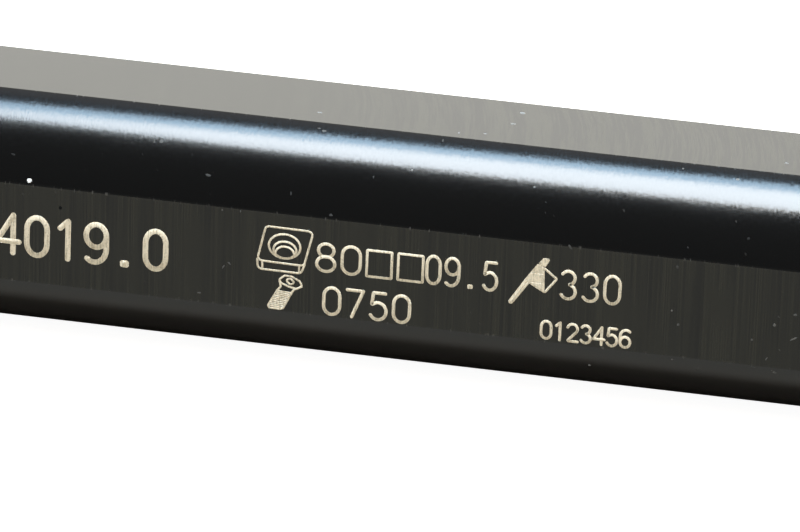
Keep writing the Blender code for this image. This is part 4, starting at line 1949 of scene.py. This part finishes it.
@dataclass
class SizeMarks(Piece):
    """Plain figures and small pictures of the insert, the screw and the key, etched into the marked flat."""

    thickness: float = 0.012 * MM
    lift: float = 0.0004 * MM
    levels: int = 8
    figures: tuple[Figures, ...] = (
        Figures("254019.0", -31.50, -1.60, 2.90, 2.14, 0.40, 0.90),
        Figures("80", -4.26, -0.28, 2.10, 1.80, 0.23, 1.10),
        Figures("##", -0.78, -0.28, 2.10, 1.80, 0.19, 1.00, 2.22),
        Figures("09.5", 3.56, -0.28, 2.10, 1.34, 0.23, 0.80),
        Figures("0750", -3.66, -3.52, 2.04, 1.66, 0.24, 1.00),
        Figures("330", 13.02, -0.26, 2.10, 1.56, 0.23, 0.90),
        Figures("0123456", 11.82, -3.46, 1.32, 0.93, 0.20, 0.95),
    )
    plate: Strokes = (
        ((-7.96, 2.67), (-4.56, 2.62), (-5.16, -0.06), (-8.52, 0.0), (-7.96, 2.67)),
        ((-8.50, 0.10), (-8.44, -0.64), (-5.36, -0.66), (-5.10, 0.05)),
        ((-8.14, -0.10), (-8.12, -0.58)),
        ((-5.50, -0.14), (-5.48, -0.56)),
    )
    hole: Strokes = (
        (Bow(-6.58, 1.27, 1.13, 0.93, 0, 360),),
        (Bow(-6.55, 1.00, 0.82, 0.64, 0, 360),),
        (Bow(-6.55, 0.72, 0.66, 0.54, 5, 175),),
    )
    screw_head: Strokes = (
        (
            (-6.89, -1.30), (-6.50, -0.95), (-6.00, -0.98), (-5.40, -1.28), (-5.25, -1.60),
            (-5.60, -1.88), (-6.12, -1.80), (-6.72, -1.56), (-6.89, -1.30),
        ),
        ((-6.47, -1.25), (-6.05, -1.16), (-5.75, -1.44), (-6.10, -1.60), (-6.47, -1.25)),
    )
    screw_sides: Strokes = (
        ((-6.86, -1.42), (-6.76, -1.84), (-6.98, -2.10), (-7.64, -3.38), (-7.52, -3.54)),
        ((-5.28, -1.68), (-5.84, -1.98), (-5.96, -2.22), (-6.54, -3.46), (-6.74, -3.56), (-7.52, -3.54)),
    )
    screw_thread: Strokes = rungs(((-7.02, -2.16), (-7.60, -3.36)), ((-5.98, -2.24), (-6.56, -3.44)), 10)
    key: Strokes = (
        ((10.62, 0.92), (9.46, -0.98), (9.62, -1.06), (10.80, 0.72)),
        ((11.86, 1.84), (12.74, 1.14), (11.94, 0.04), (10.80, 0.68)),
        ((9.60, -0.92), (10.64, 0.76)),
    )
    key_grip: Strokes = hatched(((10.60, 0.96), (11.42, 2.18), (11.80, 1.86), (11.87, 0.08), (10.80, 0.66)))
    key_stem: Strokes = hatched(((11.46, 2.18), (11.84, 2.70), (12.16, 2.54), (11.84, 1.94)))

    def pictures(self) -> list[Picture]:
        """The insert, the screw and the key, with their shaded parts.

        Returns:
            The pictures.
        """
        return [
            Picture(0.15, 0.30, self.plate),
            Picture(0.15, 0.05, self.hole),
            Picture(0.14, 0.12, self.screw_head + self.screw_sides),
            Picture(0.17, 0.08, self.key),
            Picture(0.11, 0.0, self.screw_thread + self.key_grip + self.key_stem),
        ]

    def build(self, strokes: StrokeRecipe, shank: Shank) -> Object:
        """Draws every row and picture, and lays them on the marked flat as one piece.

        Args:
            strokes: The recipe that draws strokes.
            shank: The bar's shank.

        Returns:
            The piece.
        """
        whole = bmesh.new()
        for group in [*self.figures, *self.pictures()]:
            inputs = {"Width": group.weight * MM, "Thickness": self.thickness, "Corner": group.corner * MM}
            whole.from_mesh(strokes.run(self._paths_mesh(group.paths()), inputs))
        mesh = bpy.data.meshes.new("size_marks")
        whole.to_mesh(mesh)
        whole.free()
        stand_up = Matrix.Rotation(math.pi / 2, 4, "X")
        mesh.transform(Matrix.Translation((0, -shank.flat_reach, shank.axis_height)) @ stand_up)
        finish = EtchedMark("etched_mark", (0.66, 0.57, 0.43), roughness=0.62)
        return self.place("size_marks", mesh, finish)

    def _paths_mesh(self, paths: Iterable[list[Point]]) -> Mesh:
        """The paths as edges in the XY plane, each a hair above the last.

        One that ends where it began is a loop.

        Args:
            paths: The points of each path.

        Returns:
            The mesh of edges.
        """
        points: list[tuple[float, float, float]] = []
        edges: list[tuple[int, int]] = []
        for order, path in enumerate(paths):
            looped = math.dist(path[0], path[-1]) < TINY
            kept = path[:-1] if looped else path
            first = len(points)
            points += [(x, y, order % self.levels * self.lift) for x, y in kept]
            edges += [(index, index + 1) for index in range(first, len(points) - 1)]
            if looped:
                edges.append((len(points) - 1, first))
        mesh = bpy.data.meshes.new("paths")
        mesh.from_pydata(points, edges, [])
        return mesh


@dataclass(frozen=True)
class Speck:
    """A grain of dust on the bar, in millimetres and degrees.

    It lies at a place along the bar and at a turn about the axis, from straight up towards the nose's
    side. Its lean turns its length away from the bar's.
    """

    along: float
    about: float
    length: float
    width: float
    shade: float
    lean: float = 0.0

    def seat(self, shank: Shank) -> Matrix:
        """The grain's frame on the shank: X along its length, and Z outwards.

        Args:
            shank: The bar's shank.

        Returns:
            The frame.
        """
        turn = math.radians(self.about)
        reach = min(shank.radius, shank.flat_reach / max(abs(math.sin(turn)), abs(math.cos(turn))))
        point = Vector((self.along * MM, -reach * math.sin(turn), shank.axis_height + reach * math.cos(turn)))
        flat = math.radians(QUARTER_TURN * round(self.about / QUARTER_TURN))
        facing = turn if reach == shank.radius else flat
        lean = Matrix.Rotation(math.radians(self.lean), 4, "Z")
        return Matrix.Translation(point) @ Matrix.Rotation(facing, 4, "X") @ lean


@dataclass
class Dust(Piece):
    """Grains of dust and lint on the shank, each a thin closed lens."""

    thickness: float = 0.012 * MM
    steps: int = 10
    unevenness: float = 0.08
    waves: int = 3
    specks: tuple[Speck, ...] = (
        Speck(-25.0, 65.0, 0.35, 0.32, 0.55),
        Speck(13.55, 67.2, 0.42, 0.16, 0.055, -55),
        Speck(10.5, 43.4, 0.15, 0.15, 0.14),
        Speck(-16.1, 41.5, 0.28, 0.32, 0.07),
        Speck(-16.6, 41.9, 0.12, 0.32, 0.06),
        Speck(-4.9, 27.5, 0.32, 0.18, 0.08),
        Speck(-5.3, 26.4, 0.26, 0.12, 0.05),
        Speck(1.8, 42.0, 0.14, 0.14, 0.17),
        Speck(24.4, 28.8, 0.26, 0.16, 0.16),
        Speck(20.5, 26.3, 0.14, 0.14, 0.09),
        Speck(3.5, 25.5, 0.12, 0.26, 0.045),
        Speck(-12.4, 54.2, 0.40, 0.18, 0.034, -10),
        Speck(-3.4, 65.2, 0.26, 0.18, 0.030),
        Speck(-6.4, 58.0, 0.12, 0.28, 0.018, 8),
        Speck(-26.4, 54.7, 0.32, 0.14, 0.010, -12),
        Speck(-0.8, 47.0, 0.10, 0.22, 0.024),
        Speck(25.8, 55.3, 0.20, 0.20, 0.009),
        Speck(21.7, 61.9, 0.14, 0.14, 0.011),
        Speck(8.1, -12.2, 0.40, 0.34, 0.17),
        Speck(7.8, 1.4, 0.38, 0.26, 0.16),
        Speck(-5.7, 12.8, 0.38, 0.18, 0.17),
        Speck(27.4, 11.6, 0.30, 0.24, 0.16),
        Speck(6.2, 15.9, 0.26, 0.14, 0.18),
        Speck(4.4, 17.9, 0.12, 0.26, 0.16),
        Speck(-22.7, 75.5, 0.26, 0.28, 0.0),
        Speck(21.1, 70.6, 0.16, 0.26, 0.05, 12),
        Speck(20.9, 91.6, 0.14, 0.14, 0.12),
        Speck(28.1, 92.9, 0.20, 0.26, 0.10),
        Speck(21.4, 98.1, 0.18, 0.18, 0.07),
        Speck(29.5, 86.8, 0.26, 0.16, 0.08, 10),
        Speck(29.5, 98.6, 0.55, 0.12, 0.10, 32),
        Speck(26.6, 101.4, 0.18, 0.16, 0.06),
        Speck(27.7, 109.3, 0.30, 0.08, 0.08, 60),
        Speck(28.2, 114.9, 0.34, 0.10, 0.07, -25),
        Speck(26.8, 113.8, 0.40, 0.08, 0.05),
        Speck(22.9, 118.8, 0.20, 0.12, 0.05, -30),
        Speck(-10.9, 95.3, 0.34, 0.08, 0.09, 65),
        Speck(-10.5, 93.3, 0.28, 0.09, 0.09, -35),
        Speck(-12.6, 109.1, 0.26, 0.14, 0.07, 15),
        Speck(-11.1, 68.2, 0.10, 0.16, 0.08),
        Speck(-9.8, 67.9, 0.08, 0.18, 0.08),
        Speck(15.2, 126.3, 0.20, 0.20, 0.18),
        Speck(28.3, 115.8, 0.28, 0.14, 0.09),
        Speck(21.1, 115.0, 0.16, 0.16, 0.09),
    )

    def _lens(self, speck: Speck, shank: Shank) -> list[Vector]:
        """A grain's points: its uneven rim, then its top and its bottom.

        Args:
            speck: The grain.
            shank: The bar's shank.

        Returns:
            The points.
        """
        rim = []
        for step in range(self.steps):
            angle = math.tau * step / self.steps
            reach = 0.5 * MM * (1 + self.unevenness * math.sin(self.waves * angle + speck.along))
            along, across = speck.length * reach, speck.width * reach
            rim.append(Vector((along * math.cos(angle), across * math.sin(angle), 0)))
        poles = [Vector((0, 0, height)) for height in (self.thickness, -self.thickness)]
        return [speck.seat(shank) @ point for point in rim + poles]

    def build(self, shank: Shank) -> Object:
        """Builds, dresses and places all the grains as one piece.

        Args:
            shank: The bar's shank.

        Returns:
            The piece.
        """
        points: list[Vector] = []
        faces: list[tuple[int, int, int]] = []
        shades: list[float] = []
        for speck in self.specks:
            first = len(points)
            lens = self._lens(speck, shank)
            points += lens
            shades += [speck.shade] * len(lens)
            top, bottom = first + self.steps, first + self.steps + 1
            for step in range(self.steps):
                here, there = first + step, first + (step + 1) % self.steps
                faces += [(here, there, top), (there, here, bottom)]
        mesh = bpy.data.meshes.new("dust")
        mesh.from_pydata(points, [], faces)
        mesh.attributes.new(SHADE, "FLOAT", "POINT").data.foreach_set("value", shades)
        finish = DustGrain("dust_grain", (1.0, 0.98, 0.94), roughness=0.9, gloss=0.2)
        return self.place("dust", mesh, finish)


class Shape(Enum):
    """The outline of a light."""

    OBLONG = "RECTANGLE"
    ROUND = "ELLIPSE"


@dataclass(frozen=True)
class SoftBox:
    """A soft area light, which faces the middle of the bar.

    Its direction is told by its lean from straight up towards the camera's side, and by its share along X.
    """

    name: str
    lean: float
    along: float
    distance: float
    width: float
    depth: float
    radiance: float
    tint: Colour = (1.0, 1.0, 1.0)
    shape: Shape = Shape.OBLONG
    turn: float = 0.0

    def build(self, aim: Vector) -> None:
        """Adds the light.

        Args:
            aim: The point that it faces.
        """
        lamp = bpy.data.lights.new(self.name, "AREA")
        lamp.shape = self.shape.value
        lamp.size = self.width
        lamp.size_y = self.depth
        area = self.width * self.depth * (math.pi / 4 if self.shape is Shape.ROUND else 1.0)
        lamp.energy = self.radiance * math.pi * area
        lamp.color = self.tint
        lean = math.radians(self.lean)
        direction = Vector((self.along, -math.sin(lean), math.cos(lean))).normalized()
        obj = bpy.data.objects.new(self.name, lamp)
        bpy.context.scene.collection.objects.link(obj)
        obj.location = aim + direction * self.distance
        obj.rotation_mode = "QUATERNION"
        facing = direction.to_track_quat("Z", "Y")
        obj.rotation_quaternion = facing @ Quaternion((0, 0, 1), math.radians(self.turn))
        obj.visible_camera = False


@dataclass
class Studio:
    """The white floor, the soft lights and the camera."""

    axis_height: float
    floor_size: float = 6.0
    camera_distance: float = 470.0 * MM
    camera_turn: float = 9.88
    camera_height: float = 24.21
    camera_roll: float = 2.43
    camera_drop: float = 2.95 * MM
    lens: float = 297.9
    film_width: float = 36.0
    clip: Span = (0.01, 50.0)
    room_light: float = 0.15
    lights: tuple[SoftBox, ...] = (
        SoftBox("window", 8.4, 0.00, 1.5, 0.78, 0.52, 23.0, (1.0, 0.86, 0.70), Shape.ROUND, -12.0),
        SoftBox("sky", 4.3, 0.00, 1.5, 0.92, 0.69, 29.0, (0.52, 0.77, 1.0), Shape.ROUND, -9.0),
        SoftBox("ceiling", -30.0, -0.10, 1.5, 1.00, 0.80, 1.2, (0.95, 0.97, 1.0)),
        SoftBox("back", -65.0, -0.15, 1.2, 1.10, 0.75, 3.0, (1.0, 0.99, 0.93)),
        SoftBox("strip_left", 4.0, -0.95, 1.9, 1.20, 0.45, 8.0),
        SoftBox("strip_right", 4.0, 0.95, 1.9, 1.20, 0.45, 8.0),
        SoftBox("left", 35.0, -1.5, 1.6, 0.50, 0.50, 6.0),
        SoftBox("right", 30.0, 1.5, 1.6, 0.50, 0.50, 6.0),
    )

    def build(self) -> None:
        """Adds everything."""
        aim = Vector((0, 0, self.axis_height))
        for light in self.lights:
            light.build(aim)
        self._floor()
        self._room()
        self._camera(aim)
        LOG.info("studio: %d lights", len(self.lights))

    def _floor(self) -> None:
        """A wide white floor under the bar."""
        half = self.floor_size / 2
        mesh = bpy.data.meshes.new("floor")
        corners = [(-half, -half, 0), (half, -half, 0), (half, half, 0), (-half, half, 0)]
        mesh.from_pydata(corners, [], [(0, 1, 2, 3)])
        colour = (0.405, 0.365, 0.310)
        paper = StudioPaper("studio_paper", colour, roughness=0.8, gloss=0.1, glow=0.95)
        mesh.materials.append(paper.make())
        new_object("floor", mesh)

    def _room(self) -> None:
        """A dim even room, which the camera sees as white."""
        world = bpy.data.worlds.new("room")
        bpy.context.scene.world = world
        world.use_nodes = True
        graph = Graph(world.node_tree)
        seen = graph.add("ShaderNodeLightPath", {}, {}, "Is Camera Ray")
        shade = world.node_tree.nodes["Background"]
        shade.inputs["Color"].default_value = (1.0, 1.0, 1.0, 1.0)
        graph.feed(shade.inputs["Strength"], seen * (1.0 - self.room_light) + self.room_light)

    def _camera(self, aim: Vector) -> None:
        """The camera: a long lens that looks down a little, turned a few degrees along the bar.

        Args:
            aim: The point that it faces.
        """
        turned = (self.camera_turn, self.camera_height, self.camera_roll)
        turn, height, roll = (math.radians(angle) for angle in turned)
        level = math.cos(height)
        back = Vector((math.sin(turn) * level, -math.cos(turn) * level, math.sin(height)))
        side = Vector((0, 0, 1)).cross(back).normalized()
        upright = back.cross(side)
        right = side * math.cos(roll) + upright * math.sin(roll)
        up = upright * math.cos(roll) - side * math.sin(roll)
        data = bpy.data.cameras.new("camera")
        data.lens = self.lens
        data.sensor_width = self.film_width
        data.clip_start, data.clip_end = self.clip
        obj = bpy.data.objects.new("camera", data)
        bpy.context.scene.collection.objects.link(obj)
        place = aim + back * self.camera_distance - up * self.camera_drop
        obj.matrix_world = Matrix.Translation(place) @ Matrix((right, up, back)).transposed().to_4x4()
        bpy.context.scene.camera = obj
        bpy.context.scene.view_settings.view_transform = "Standard"


def main() -> None:
    """Builds the bar, the insert, the screw, the marks and the dust, then the studio."""
    logging.basicConfig(level=logging.INFO, format="%(name)s: %(message)s")
    turned, strokes = TurnedRecipe(), StrokeRecipe()
    shank, insert, screw = Shank(), Insert(), InsertScrew()
    Head().build(shank, insert, screw, turned)
    insert.build(shank)
    screw.build(turned, insert.frame(shank))
    SizeMarks().build(strokes, shank)
    Dust().build(shank)
    Studio(shank.axis_height).build()


if __name__ == "__main__":
    main()
